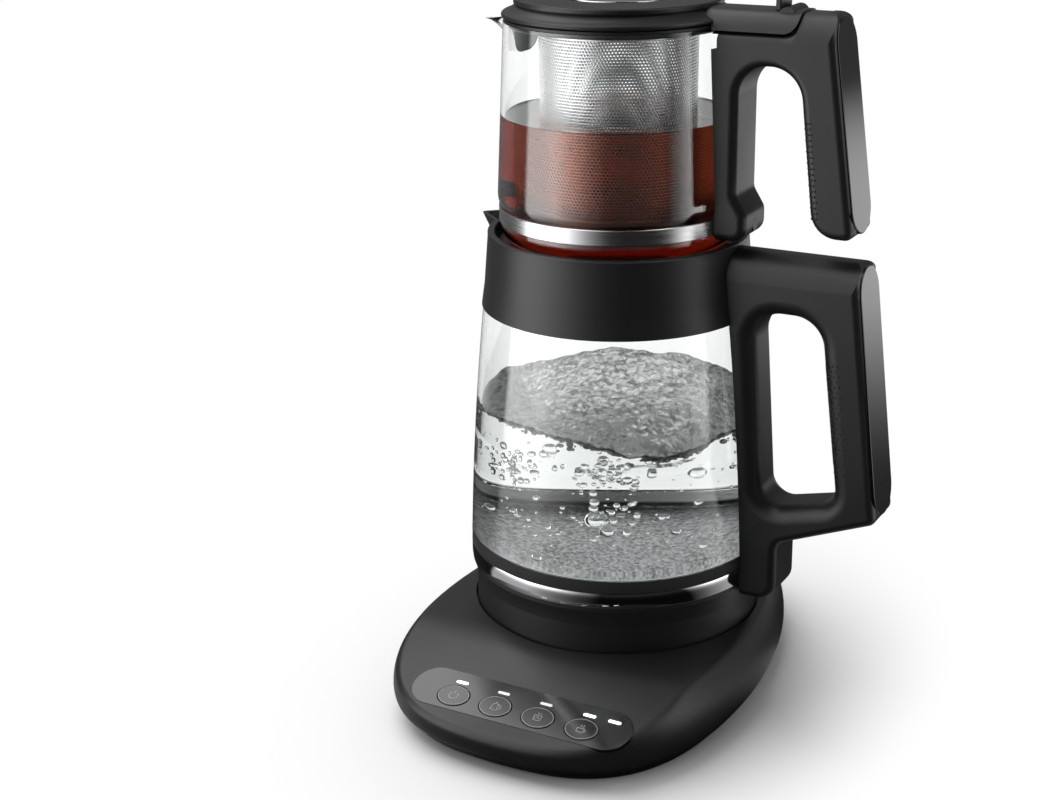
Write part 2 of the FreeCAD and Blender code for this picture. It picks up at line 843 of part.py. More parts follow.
def make_skirt():
    floor = well_floor()
    inside = cylinder(skirt_radius - skirt_wall, floor, trim_bottom)
    skirt = skirt_outside().cut(inside)
    bosses = []
    for x, y in kettle_boss_places():
        bosses.append(cylinder(kettle_boss_radius, floor + cover_thickness, trim_bottom - 8, x=x, y=y))
    skirt = fuse([skirt] + [boss.common(cylinder(skirt_radius - 1, floor, trim_bottom)) for boss in bosses])
    for x, y in kettle_boss_places():
        skirt = skirt.cut(cylinder(screw_radius + screw_gap / 2, 0, trim_bottom - 12, x=x, y=y))
    return skirt


def make_kettle_cover():
    floor = well_floor()
    plate = cylinder(skirt_radius - skirt_wall - touch, floor, floor + cover_thickness)
    plate = plate.cut(cylinder(plug_radius + 2.0, 0, dock_height))
    for x, y in kettle_boss_places():
        plate = plate.cut(cylinder(screw_radius + screw_gap, 0, dock_height, x=x, y=y))
        plate = plate.cut(cylinder(screw_head_radius + screw_gap, 0, floor + cover_thickness / 2, x=x, y=y))
    return plate


def make_kettle_screws():
    floor = well_floor()
    screws = []
    for x, y in kettle_boss_places():
        head = cylinder(screw_head_radius, floor + 0.1, floor + cover_thickness / 2, x=x, y=y)
        shank = cylinder(screw_radius, floor + cover_thickness / 2, floor + 12, x=x, y=y)
        screws.append(head.fuse(shank))
    return screws


def make_trim_ring():
    inner = plate_radius() + touch
    edge = 0.6
    return revolve(
        (inner, trim_bottom),
        (trim_radius - edge, trim_bottom),
        (trim_radius, trim_bottom + edge),
        (trim_radius, seal_bottom() - edge),
        (trim_radius - edge, seal_bottom()),
        (inner, seal_bottom()),
    )


def plate_radius():
    return glass_base_radius - glass_wall - 0.9


def make_bottom_seal():
    return ring(plate_radius() + touch, glass_base_radius + 0.1, seal_bottom(), seal_top())


def make_bottom_plate():
    """A shallow steel dish: its flange stands up inside the ring and the seal."""
    radius = plate_radius()
    edge = seal_top() - plate_flange_gap
    floor = plate_top
    under = plate_top - plate_thickness
    inside = radius - plate_thickness
    bend = plate_corner
    inner_bend = plate_corner - plate_thickness
    middle = plate_top - plate_thickness + bend
    sine = math.sin(math.radians(45))
    return revolve(
        (0, floor),
        (radius - bend, floor),
        ((radius - bend + inner_bend * sine, middle - inner_bend * sine), (inside, middle)),
        (inside, edge),
        (radius, edge),
        (radius, middle),
        ((radius - bend + bend * sine, middle - bend * sine), (radius - bend, under)),
        (0, under),
    )


def spreader_bottom():
    return plate_top - plate_thickness - spreader_thickness


def make_spreader():
    return cylinder(spreader_radius, spreader_bottom(), plate_top - plate_thickness)


def make_element():
    """The horseshoe heating tube with its two cold ends turned down."""
    level = spreader_bottom() - element_tube_radius
    circle = Part.Face(Part.Wire([Part.makeCircle(element_tube_radius, Vector(element_ring_radius, 0, level),
                                                   Vector(0, 1, 0))]))
    tube = circle.revolve(Vector(0, 0, 0), Z_AXIS, 360 - element_open_angle)
    tube.rotate(Vector(0, 0, 0), Z_AXIS, element_open_angle / 2)
    ends = []
    for side in (-1, 1):
        angle = math.radians(side * element_open_angle / 2)
        x = element_ring_radius * math.cos(angle)
        y = element_ring_radius * math.sin(angle)
        ends.append(cylinder(1.6, level - 9, level, x=x, y=y + side * 1.0))
    return fuse([tube] + ends)


def make_sensor():
    return cylinder(sensor_radius, spreader_bottom() - sensor_height, spreader_bottom(), x=sensor_x, y=0)


def socket_bottom():
    return well_floor() + cover_thickness


def make_kettle_connector():
    bottom = socket_bottom()
    radius = plug_radius + 0.7
    roof = well_floor() + socket_depth
    body = cylinder(radius + socket_wall, bottom, bottom + socket_height)
    body = body.cut(cylinder(radius, bottom, roof))
    posts = []
    for angle in (30, 150, 270):
        x = (radius + 1) * math.cos(math.radians(angle))
        y = (radius + 1) * math.sin(math.radians(angle))
        posts.append(cylinder(2.6, bottom + socket_height, spreader_bottom(), x=x, y=y))
    low = well_floor() + 3
    pin = cylinder(pin_radius, low, roof)
    blade = ring(blade_radius, blade_radius + blade_thickness, low, roof)
    return fuse([body] + posts), [pin, blade]


# ---------------------------------------------------------------- handles
def grip_strip(bottom, top, low_end, high_end):
    """The gloss plate let into the outer face of a grip, between two heights."""
    lean = math.atan2(bottom[0] - top[0], top[1] - bottom[1])
    length = (high_end - low_end) / math.cos(lean)
    centre_z = (high_end + low_end) / 2
    centre_x = bottom[0] + (top[0] - bottom[0]) * (centre_z - bottom[1]) / (top[1] - bottom[1])
    face = strip_thickness - strip_inset
    plate = stadium(length, strip_width, -strip_inset, face)
    plate = soften(plate, strip_edge, lambda c: abs(c.z - face) < 1e-3)
    plate.rotate(Vector(0, 0, 0), Vector(0, 1, 0), 90)
    plate.rotate(Vector(0, 0, 0), Vector(0, 1, 0), -math.degrees(lean))
    plate.translate(Vector(centre_x, 0, centre_z))
    return plate


def strip_seat(bottom, top, low_end, high_end):
    lean = math.atan2(bottom[0] - top[0], top[1] - bottom[1])
    length = (high_end - low_end) / math.cos(lean)
    centre_z = (high_end + low_end) / 2
    centre_x = bottom[0] + (top[0] - bottom[0]) * (centre_z - bottom[1]) / (top[1] - bottom[1])
    seat = stadium(length + 2 * touch, strip_width + 2 * touch, -strip_inset, 30)
    seat.rotate(Vector(0, 0, 0), Vector(0, 1, 0), 90)
    seat.rotate(Vector(0, 0, 0), Vector(0, 1, 0), -math.degrees(lean))
    seat.translate(Vector(centre_x, 0, centre_z))
    return seat


def grip_pad(low, high, low_end, high_end, grow, depth, proud):
    """The soft pad on the inner face of a grip, given that face's line from low to high."""
    lean = math.atan2(low[0] - high[0], high[1] - low[1])
    length = (high_end - low_end) / math.cos(lean)
    centre_z = (high_end + low_end) / 2
    centre_x = low[0] + (high[0] - low[0]) * (centre_z - low[1]) / (high[1] - low[1])
    pad = stadium(length + 2 * grow, pad_width + 2 * grow, -proud, depth)
    pad.rotate(Vector(0, 0, 0), Vector(0, 1, 0), 90)
    pad.rotate(Vector(0, 0, 0), Vector(0, 1, 0), -math.degrees(lean))
    pad.translate(Vector(centre_x, 0, centre_z))
    return pad


def round_topped(x0, x1, bottom, top):
    """A bar along X whose upper edges are rounded, to shape a handle's top."""
    half = handle_width / 2
    bar = block(x0, x1, -half, half, bottom, top)
    edges = [edge for edge in bar.Edges
             if abs(edge.CenterOfMass.z - top) < 1e-6 and edge.BoundBox.XLength > 1]
    return bar.makeFillet(top_round, edges)


def kettle_side(offset):
    """Everything round that the kettle's handle lies against, moved out by offset."""
    collar = revolve(
        (0, collar_bottom),
        (collar_bottom_radius + offset, collar_bottom),
        (collar_knee_radius + offset, collar_knee),
        (collar_radius(kettle_rim) + offset, kettle_rim),
        (collar_radius(kettle_rim) + offset, kettle_rim + 20),
        (0, kettle_rim + 20),
    )
    lower = cylinder(trim_radius + offset, 0, seal_top())
    return fuse([collar, glass_outside(offset), lower])


def make_kettle_handle():
    outline = rounded([
        (mouth_radius, kettle_handle_foot, 0),
        (kettle_leg_x, kettle_handle_foot, 9),
        (kettle_leg_x, kettle_elbow, 6),
        (kettle_grip_bottom[0], kettle_grip_bottom[1], handle_corner),
        (kettle_grip_top[0], kettle_grip_top[1], handle_corner),
        (mouth_radius, kettle_handle_top, 0),
    ])
    half = handle_width / 2
    body = slab(outline, handle_width)

    def along_sides(c):
        beside = abs(abs(c.y) - half) < 1e-3
        return beside and c.x > mouth_radius + handle_round and c.z < kettle_handle_top - 1

    body = soften(body, handle_round, along_sides)
    opening = slab(rounded(kettle_hole), handle_width + 2)
    body = body.cut(opening)
    hole_x = (min(c[0] for c in kettle_hole), max(c[0] for c in kettle_hole))
    hole_z = (min(c[1] for c in kettle_hole), max(c[1] for c in kettle_hole))

    def around_hole(c):
        in_x = hole_x[0] - 0.5 < c.x < hole_x[1] + 0.5
        in_z = hole_z[0] - 0.5 < c.z < hole_z[1] + 0.5
        return abs(abs(c.y) - half) < 1e-3 and in_x and in_z

    body = soften(body, grip_round, around_hole)
    crown = round_topped(40, handle_reach, kettle_handle_top - 30, kettle_handle_top)
    below = block(40, handle_reach, -half, half, 0, kettle_handle_top - 30)
    body = body.common(fuse([crown, below]))
    body = body.cut(kettle_side(touch))
    body = body.cut(strip_seat(*kettle_strip_line()))
    pad_seat = grip_pad(*kettle_pad_line(), touch, 10 * pad_inset, 0)
    body = body.cut(pad_seat.common(pad_keep(kettle_pad_line())))
    for screw in make_kettle_handle_screws(screw_gap):
        body = body.cut(screw)
    return body


def kettle_strip_line():
    low_end = kettle_grip_bottom[1] + strip_end_gap
    high_end = kettle_grip_top[1] - strip_end_gap
    return kettle_grip_bottom, kettle_grip_top, low_end, high_end


def kettle_pad_line():
    low = (kettle_hole[2][0], kettle_hole[2][1])
    high = (kettle_hole[1][0], kettle_hole[1][1])
    return low, high, low[1] + 13.5, high[1] - 16.0


def pad_keep(line):
    """The slice of space in which a grip pad is let into its grip."""
    low, high, low_end, high_end = line
    lean = math.atan2(low[0] - high[0], high[1] - low[1])
    centre_z = (high_end + low_end) / 2
    centre_x = low[0] + (high[0] - low[0]) * (centre_z - low[1]) / (high[1] - low[1])
    keep = block(-60, 60, -20, 20, -10, pad_inset)
    keep.rotate(Vector(0, 0, 0), Vector(0, 1, 0), 90)
    keep.rotate(Vector(0, 0, 0), Vector(0, 1, 0), -math.degrees(lean))
    keep.translate(Vector(centre_x, 0, centre_z))
    return keep


def make_kettle_handle_screws(grow=0.0):
    """Two screws along X, from inside the skirt and the collar into the handle."""
    screws = []
    places = (
        (skirt_radius - skirt_wall, trim_bottom - 4.5, 12.0),
        (mouth_radius + 1.8, ledge_height - 9, 14.0),
    )
    for x, z, length in places:
        start = x - 1.8 - 3 * grow
        head = Part.makeCylinder(screw_head_radius + grow, x - start, Vector(start, 0, z), Vector(1, 0, 0))
        shank = Part.makeCylinder(screw_radius + grow, length, Vector(x, 0, z), Vector(1, 0, 0))
        screws.append(head.fuse(shank))
    return screws


# ---------------------------------------------------------------- teapot
def teapot_outside(offset):
    """The teapot glass's outer surface, moved out by offset, as a solid of revolution."""
    waist = (band_radius - band_thickness - touch + offset, band_bottom + band_height)
    low = (waist[0], band_bottom)
    return revolve(
        (0, teapot_base - offset),
        (teapot_base_radius, teapot_base - offset),
        ((teapot_base_radius + 6.4 + offset * 0.7, teapot_base + 3.6 - offset * 0.7), low),
        waist,
        ((teapot_belly_radius + offset - 0.4, waist[1] + 2.6), (teapot_belly_radius + offset, teapot_belly)),
        ((teapot_mid_radius + offset, teapot_mid), (teapot_neck_radius + offset, teapot_rim)),
        (0, teapot_rim),
    )


def teapot_spout(inset, lift):
    foot = teapot_neck_radius + 0.4
    return spout_wedge(teapot_spout_reach, teapot_spout_half_width, teapot_neck_radius - 5.0, 3.0, inset,
                       teapot_spout_bottom + lift, teapot_spout_top + 1, foot, teapot_spout_half_width * 0.4)


def make_teapot_glass():
    outer = teapot_outside(0.0)
    inner = teapot_outside(-teapot_wall)
    throat = cylinder(teapot_neck_radius - teapot_wall, teapot_mid, teapot_rim + 5)
    body = outer.fuse(teapot_spout(0.0, 0.0)).cut(inner).cut(throat)
    body = body.cut(teapot_spout(1.7, 3.0))
    above = block(-2 * teapot_neck_radius, -teapot_neck_radius - 1, -teapot_neck_radius, teapot_neck_radius,
                  teapot_spout_top, teapot_rim + 20)
    return body.cut(above)


def make_band():
    return revolve(
        (band_radius - band_thickness, band_bottom),
        (band_radius - 0.3, band_bottom),
        (band_radius, band_bottom + 0.3),
        (band_radius, band_bottom + band_height - 0.3),
        (band_radius - 0.3, band_bottom + band_height),
        (band_radius - band_thickness, band_bottom + band_height),
    )


def make_teapot_handle():
    outline = rounded([
        (45, teapot_handle_foot, 0),
        (teapot_foot_x, teapot_handle_foot, 7),
        (teapot_foot_x, teapot_handle_foot + 13.0, 6),
        (teapot_bar_x, teapot_handle_foot + 22.0, 6),
        (teapot_bar_x, teapot_hole_top, 14),
        (teapot_grip_inner_top[0], teapot_grip_inner_top[1], 16),
        (teapot_grip_inner_bottom[0], teapot_grip_inner_bottom[1], grip_foot_round),
        (teapot_grip_outer_bottom[0], teapot_grip_outer_bottom[1], handle_corner),
        (teapot_grip_outer_top[0], teapot_grip_outer_top[1], handle_corner),
        (pivot_x + pocket_radius, teapot_handle_top, 0.4),
        (pivot_x + pocket_radius, pivot_z - pocket_radius, pocket_radius),
        (45, pivot_z - pocket_radius, 0),
    ])
    half = handle_width / 2
    body = slab(outline, handle_width)
    seam = pivot_z - pocket_radius
    body = soften(body, handle_round,
                  lambda c: abs(abs(c.y) - half) < 1e-3 and c.x > 62 and c.z < seam - 1)
    crown = round_topped(0, handle_reach, seam - 12, teapot_handle_top)
    below = block(0, handle_reach, -half, half, 0, seam - 12)
    body = body.common(fuse([crown, below]))
    scoop = block(0, lever_scoop_end, -lever_width / 2 - 1, lever_width / 2 + 1,
                  teapot_handle_top - lever_scoop, teapot_handle_top + 5)
    body = body.cut(scoop)
    lug = cylinder_y(lug_radius, pivot_x, pivot_z, lug_half_width)
    stem_start = pivot_x - lug_radius
    stem_end = pivot_x + lug_radius
    stem = block(stem_start, stem_end, -lug_half_width, lug_half_width, seam - 1, pivot_z)
    body = fuse([body, lug, stem])
    body = body.cut(cylinder_y(hinge_pin_radius + 0.05, pivot_x, pivot_z, half))
    body = body.cut(teapot_outside(touch))
    body = body.cut(cylinder(band_radius + touch, 0, band_bottom + band_height + touch))
    body = body.cut(cylinder(teapot_neck_radius + handle_notch_depth, handle_notch_bottom, handle_notch_top))
    body = body.cut(strip_seat(*teapot_strip_line()))
    pad_seat = grip_pad(*teapot_pad_line(), touch, 10 * pad_inset, 0)
    body = body.cut(pad_seat.common(pad_keep(teapot_pad_line())))
    body = body.cut(make_teapot_screw(screw_gap))
    return body


def cylinder_y(radius, x, z, half_width):
    return Part.makeCylinder(radius, 2 * half_width, Vector(x, -half_width, z), Vector(0, 1, 0))


def teapot_strip_line():
    low_end = teapot_grip_end + strip_end_gap
    high_end = teapot_handle_top - strip_end_gap
    return teapot_grip_outer_bottom, teapot_grip_outer_top, low_end, high_end


def teapot_pad_line():
    return teapot_grip_inner_bottom, teapot_grip_inner_top, teapot_grip_end + 6.0, teapot_hole_top - 21.0


def make_teapot_screw(grow=0.0):
    """The screw that draws the handle's foot onto the steel band."""
    height = band_bottom + band_height / 2
    deep = teapot_foot_x - 3.0
    start = band_radius + touch - 3 * grow
    shank = Part.makeCylinder(screw_radius + grow, deep - start, Vector(start, 0, height), Vector(1, 0, 0))
    head = Part.makeCylinder(screw_head_radius + grow, 3.0 + grow, Vector(deep, 0, height), Vector(1, 0, 0))
    return shank.fuse(head)


def make_hinge_pin():
    return cylinder_y(hinge_pin_radius, pivot_x, pivot_z, knuckle_half_width - 0.4)


# ---------------------------------------------------------------- infuser
def make_basket():
    return revolve(
        (0, basket_base),
        (basket_base_radius, basket_base),
        (basket_top_radius, infuser_rim_top - 2),
        (basket_top_radius - basket_wall, infuser_rim_top - 2),
        (basket_base_radius - basket_wall, basket_base + basket_wall),
        (0, basket_base + basket_wall),
    )


def make_infuser_rim():
    inner = basket_top_radius + touch
    neck = teapot_neck_radius - teapot_wall - running_gap
    lip = teapot_rim + touch
    return revolve(
        (inner, infuser_rim_bottom),
        (neck - 1.0, infuser_rim_bottom),
        (neck, infuser_rim_bottom + 1.0),
        (neck, lip),
        (infuser_rim_radius, lip),
        (infuser_rim_radius, infuser_rim_top),
        (inner, infuser_rim_top),
    )


def make_strainer():
    """The perforated flap that hangs in front of the spout, inside the glass."""
    outer = teapot_neck_radius - teapot_wall - running_gap
    bottom = infuser_rim_bottom - strainer_height
    shell = ring(outer - 1.0, outer, bottom, infuser_rim_bottom)
    half = strainer_width / 2
    shape = rounded([
        (-half, infuser_rim_bottom, 0), (half, infuser_rim_bottom, 0),
        (half - 1, bottom, 8), (-half + 1, bottom, 8),
    ])
    shape.rotate(Vector(0, 0, 0), Z_AXIS, 90)
    flap = Part.Face(shape).extrude(Vector(-teapot_spout_reach, 0, 0))
    return shell.common(flap)


# ---------------------------------------------------------------- lid
def lid_outside():
    return revolve(
        (0, lid_bottom),
        (lid_flange_radius - lid_flange_round, lid_bottom),
        ((lid_flange_radius, lid_bottom + lid_flange_height / 2),
         (lid_flange_radius - lid_flange_round, lid_bottom + lid_flange_height)),
        ((lid_neck_radius + 1.6, lid_neck - 1.2), (lid_neck_radius, lid_neck)),
        (lid_top_radius, lid_neck + 1.2),
        (lid_top_radius, lid_top - 0.8),
        ((lid_top_radius - 0.24, lid_top - 0.24), (lid_top_radius - 0.8, lid_top)),
        (0, lid_top),
    )


def arm_bottom():
    return pivot_z - arm_radius


def make_lid_cover():
    arm_end = pivot_x + arm_radius
    arm_top = teapot_handle_top
    outline = rounded([
        (lid_neck_radius - 6, arm_bottom(), 0),
        (arm_end, arm_bottom(), arm_radius),
        (arm_end, arm_top, 0.6),
        (lid_neck_radius - 6, arm_top, 0),
    ])
    arm = slab(outline, handle_width - 0.2)
    half = handle_width / 2
    crown = block(0, handle_reach, -half, half, arm_bottom() - 5, arm_top)
    top_edges = [edge for edge in crown.Edges if abs(edge.CenterOfMass.z - arm_top) < 1e-6]
    edges = [edge for edge in top_edges if edge.BoundBox.XLength > 1]
    arm = arm.common(crown.makeFillet(min(top_round, arm_top - arm_bottom()), edges))
    arm = arm.cut(cylinder(lid_neck_radius - 3, 0, 400))
    arm = arm.cut(cylinder(lid_flange_radius - 0.5, 0, lid_bottom))
    knuckle = cylinder_y(knuckle_radius, pivot_x, pivot_z, knuckle_half_width)
    hollow = revolve(
        (0, lid_bottom),
        (lid_flange_radius - 5.5, lid_bottom),
        (lid_neck_radius - lid_wall, lid_neck),
        (lid_neck_radius - lid_wall, lid_top - lid_wall),
        (0, lid_top - lid_wall),
    )
    cover = lid_outside().cut(hollow)
    cover = fuse([cover, arm, knuckle])
    gap = running_gap + 0.1
    slot_half = lug_half_width + running_gap
    reach = pocket_radius + 6
    drop = math.tan(math.radians(90 - lid_opening))
    r = lug_radius + gap
    sweep = slab(rounded([
        (pivot_x - r, pivot_z - reach, 0),
        (pivot_x + reach, pivot_z - reach, 0),
        (pivot_x + reach, pivot_z + r - reach * drop, 0),
        (pivot_x, pivot_z + r, 0),
        (pivot_x - r, pivot_z, 0),
    ]), 2 * slot_half)
    eye = cylinder_y(r, pivot_x, pivot_z, slot_half)
    cover = cover.cut(sweep).cut(eye)
    pin_hole = cylinder_y(hinge_pin_radius + 0.05, pivot_x, pivot_z, knuckle_half_width)
    pin_hole.translate(Vector(0, running_gap, 0))
    cover = cover.cut(pin_hole)
    cover = cover.cut(cylinder(lid_seat_radius, lid_top - lid_seat_depth, lid_top + 1))
    cover = cover.cut(lever_peg(touch))
    return cover


def lever_peg(grow):
    """The tongue by which the thumb lever is held in the lid's arm."""
    middle = lever_x + lever_length / 2
    half = lever_peg_width / 2 + grow
    depth = 2.2 + grow
    return block(middle - half, middle + half, -3.5 - grow, 3.5 + grow,
                 teapot_handle_top - depth, teapot_handle_top + 1)


def make_lever():
    """The thumb rest that stands on the lid's arm, over the hinge."""
    base = teapot_handle_top + touch
    lean = 0.5
    outline = rounded([
        (lever_x, base, 0),
        (lever_x + lever_length, base, 0),
        (lever_x + lever_length + lean, lever_top, 1.2),
        (lever_x + lean, lever_top, 1.2),
    ])
    half = lever_width / 2
    post = slab(outline, lever_width)
    post = soften(post, 0.8, lambda c: abs(abs(c.y) - half) < 1e-3 and c.z > base + 1)
    post = post.fuse(lever_peg(0.0))
    return post.cut(cylinder_y(knuckle_radius + touch, pivot_x, pivot_z, knuckle_half_width))


def make_lid_cap():
    top = lid_top + lid_cap_rise
    return revolve(
        (0, lid_top - lid_seat_depth),
        (lid_cap_radius, lid_top - lid_seat_depth),
        (lid_cap_radius, top - 0.5),
        ((lid_cap_radius - 0.15, top - 0.15), (lid_cap_radius - 0.5, top)),
        (0, top),
    )


def make_lid_plug():
    inner = plug_ring_radius - plug_ring_wall
    flange = lid_bottom + 1.6
    outer = lid_neck_radius - lid_wall - 1.5
    return revolve(
        (inner, plug_ring_bottom),
        (plug_ring_radius, plug_ring_bottom),
        (plug_ring_radius, lid_bottom),
        (outer, lid_bottom),
        (outer, flange),
        (inner, flange),
    )


def lid_boss_places():
    return [(41 * math.cos(math.radians(a)), 41 * math.sin(math.radians(a))) for a in (60, 180, 300)]


def make_lid_screws(grow=0.0):
    screws = []
    for x, y in lid_boss_places():
        shank = cylinder(1.2 + grow, lid_bottom + 0.9, lid_top - lid_wall + 1.0, x=x, y=y)
        head = cylinder(2.4 + grow, lid_bottom + 0.1, lid_bottom + 0.9, x=x, y=y)
        screws.append(head.fuse(shank))
    return screws


def make_lid_bosses():
    return [cylinder(3.2, lid_bottom + 1.6, lid_top - lid_wall, x=x, y=y) for x, y in lid_boss_places()]


def make_lid_seal():
    """The soft ring that closes the lid on the infuser's rim."""
    return ring(plug_ring_radius + touch, plug_ring_radius + 2.2, infuser_rim_top + running_gap, lid_bottom)


# ---------------------------------------------------------------- the parts
def build():
    parts = {}
    parts["base_top_cover"], parts["base_bottom_cover"] = make_base_covers()
    parts["base_feet"] = make_feet()
    parts["base_screws"] = make_base_screws()
    parts["control_panel"] = make_panel()
    names = ("power_button", "boil_button", "brew_button", "warm_button")
    for name, (x, y) in zip(names, button_places()):
        parts[name] = make_button(x, y)
    parts["indicator_lights"] = make_lights()
    parts["control_board"] = make_control_board()
    parts["button_switches"] = make_switches()
    parts["base_connector_housing"], parts["base_connector_contacts"] = make_base_connector()
    power = make_power_board()
    for name, shape in zip(("power_board", "relay", "transformer", "capacitor"), power):
        parts[name] = shape
    parts["cord_gland"] = make_gland()

    handle_screws = make_kettle_handle_screws()
    collar = make_collar()
    skirt = make_skirt()
    for hole in make_kettle_handle_screws(screw_gap):
        collar = collar.cut(hole)
        skirt = skirt.cut(hole)
    parts["kettle_glass"] = make_kettle_glass()
    parts["kettle_collar"] = collar
    parts["kettle_rim_ring"] = make_rim_ring()
    parts["kettle_collar_seal"] = make_collar_seal()
    parts["kettle_skirt"] = skirt
    parts["kettle_underside_cover"] = make_kettle_cover()
    parts["kettle_screws"] = make_kettle_screws()
    parts["kettle_trim_ring"] = make_trim_ring()
    parts["kettle_bottom_seal"] = make_bottom_seal()
    parts["kettle_bottom_plate"] = make_bottom_plate()
    parts["heat_spreader"] = make_spreader()
    parts["heating_element"] = make_element()
    parts["temperature_sensor"] = make_sensor()
    parts["kettle_connector_housing"], parts["kettle_connector_contacts"] = make_kettle_connector()
    parts["kettle_handle"] = make_kettle_handle()
    parts["kettle_handle_strip"] = grip_strip(*kettle_strip_line())
    parts["kettle_grip_pad"] = grip_pad(*kettle_pad_line(), 0, pad_inset, pad_thickness - pad_inset)
    parts["kettle_handle_screws"] = handle_screws

    parts["teapot_glass"] = make_teapot_glass()
    parts["teapot_band"] = make_band()
    parts["teapot_handle"] = make_teapot_handle()
    parts["teapot_handle_strip"] = grip_strip(*teapot_strip_line())
    parts["teapot_grip_pad"] = grip_pad(*teapot_pad_line(), 0, pad_inset, pad_thickness - pad_inset)
    parts["teapot_handle_screw"] = make_teapot_screw()
    parts["lid_hinge_pin"] = make_hinge_pin()
    parts["infuser_basket"] = make_basket()
    parts["infuser_rim"] = make_infuser_rim()
    parts["spout_strainer"] = make_strainer()

    cover = fuse([make_lid_cover()] + make_lid_bosses())
    plug = make_lid_plug()
    for hole in make_lid_screws(screw_gap / 2):
        cover = cover.cut(hole)
        plug = plug.cut(hole)
    parts["lid_cover"] = cover
    parts["lid_cap"] = make_lid_cap()
    parts["lid_plug"] = plug
    parts["lid_seal"] = make_lid_seal()
    parts["lid_thumb_lever"] = make_lever()
    parts["lid_screws"] = make_lid_screws()
    return parts


def main():
    os.makedirs("parts", exist_ok=True)
    for name, shape in build().items():
        if isinstance(shape, list):
            shape = Part.makeCompound(shape)
        if not shape.isValid():
            print("not valid:", name)
        print(name, len(shape.Solids), round(shape.Volume), shape.BoundBox)
        shape.exportStep("parts/" + name + ".step")


main()
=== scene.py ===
"""Looks of an automatic tea maker: kettle on a power base, glass teapot and hinged lid."""

import json
import math
import random

import bmesh
import bpy
from bpy.props import FloatProperty, FloatVectorProperty, IntProperty, PointerProperty
from mathutils import Matrix, Vector, noise


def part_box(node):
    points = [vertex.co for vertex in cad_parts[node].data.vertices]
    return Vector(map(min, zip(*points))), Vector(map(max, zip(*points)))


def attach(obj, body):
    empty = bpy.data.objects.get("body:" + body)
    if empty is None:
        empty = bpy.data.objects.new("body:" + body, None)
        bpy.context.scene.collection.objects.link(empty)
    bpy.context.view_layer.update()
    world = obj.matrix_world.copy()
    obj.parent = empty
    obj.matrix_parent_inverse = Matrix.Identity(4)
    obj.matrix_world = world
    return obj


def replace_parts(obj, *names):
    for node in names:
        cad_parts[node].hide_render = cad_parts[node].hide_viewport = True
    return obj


bl_info = {
    "name": "Tea Maker Finishes",
    "version": (1, 0, 0),
    "blender": (4, 5, 0),
    "location": "3D View > Sidebar > Tea Maker",
    "description": "Builds glass, liquids, steel and plastic finishes around the tea maker's frame",
    "category": "Object",
}

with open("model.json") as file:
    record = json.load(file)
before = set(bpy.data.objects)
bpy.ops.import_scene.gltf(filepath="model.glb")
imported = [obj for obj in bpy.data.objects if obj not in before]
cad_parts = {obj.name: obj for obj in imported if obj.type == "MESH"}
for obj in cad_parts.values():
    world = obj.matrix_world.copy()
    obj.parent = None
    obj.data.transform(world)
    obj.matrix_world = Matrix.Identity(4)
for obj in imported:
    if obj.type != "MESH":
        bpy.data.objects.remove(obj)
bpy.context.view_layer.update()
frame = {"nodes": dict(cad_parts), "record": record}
MM = 0.001
VIEW_TURN = math.radians(26)   # the viewer's side, from -Y towards +X
WATER_REFRACTION = 1.33

plate_low, plate_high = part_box("kettle_bottom_plate")
glass_low, glass_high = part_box("kettle_glass")
pot_low, pot_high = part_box("teapot_glass")
basket_low, basket_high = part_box("infuser_basket")
trim_low, trim_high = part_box("kettle_trim_ring")
seal_low, seal_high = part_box("kettle_bottom_seal")
band_low, band_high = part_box("teapot_band")


# ---------------------------------------------------------------- settings
def length(name, description, millimetres):
    return FloatProperty(name=name, description=description, default=millimetres * MM, min=0.0,
                         precision=5, unit="LENGTH")


def measure(name, description, value):
    return FloatProperty(name=name, description=description, default=value, min=0.0)


def colour(name, description, value):
    return FloatVectorProperty(name=name, description=description, default=value, size=3, min=0.0, max=1.0,
                               subtype="COLOR")


class KettleSizes(bpy.types.PropertyGroup):
    glass_wall: length("Glass wall", "Thickness of the kettle's glass", 2.6)
    belly_radius: length("Belly radius", "Outer radius of the kettle's glass at half height", 73.2)
    top_radius: length("Top radius", "Outer radius of the kettle's glass at its top", 67.2)
    water_level: length("Water level", "Height of the water's surface over the table", 147.5)
    wave_height: length("Wave height", "Height of the boiling water's waves", 3.4)
    bubble_count: IntProperty(name="Bubbles", description="Number of loose bubbles in the water", default=110,
                              min=1)
    largest_bubble: length("Largest bubble", "Radius of the largest bubble", 4.4)


class TeapotSizes(bpy.types.PropertyGroup):
    glass_wall: length("Glass wall", "Thickness of the teapot's glass", 2.2)
    spout_reach: length("Spout reach", "Distance from the axis to the tip of the pouring lip", 73.4)
    spout_width: length("Spout width", "Half the width of the pouring lip at the rim", 15.0)
    tea_level: length("Tea level", "Height of the tea's surface over the table", 294.0)
    basket_wall: length("Basket wall", "Thickness of the infuser's steel sheet", 0.5)
    basket_pitch: length("Hole pitch", "Distance between the infuser's holes", 1.72)
    hole_share: FloatProperty(name="Hole share", description="Share of the pitch left as steel beside a hole",
                              default=0.24, min=0.05, max=0.45, subtype="FACTOR")


class DetailSizes(bpy.types.PropertyGroup):
    dot_pitch: length("Dot pitch", "Distance between the dots on the soft grip pads", 3.0)
    dot_radius: length("Dot radius", "Radius of a dot on the soft grip pads", 0.8)
    symbol_line: length("Symbol line", "Width of the lines of the button symbols", 0.42)
    symbol_rise: length("Symbol rise", "Height of the print over the button", 0.05)


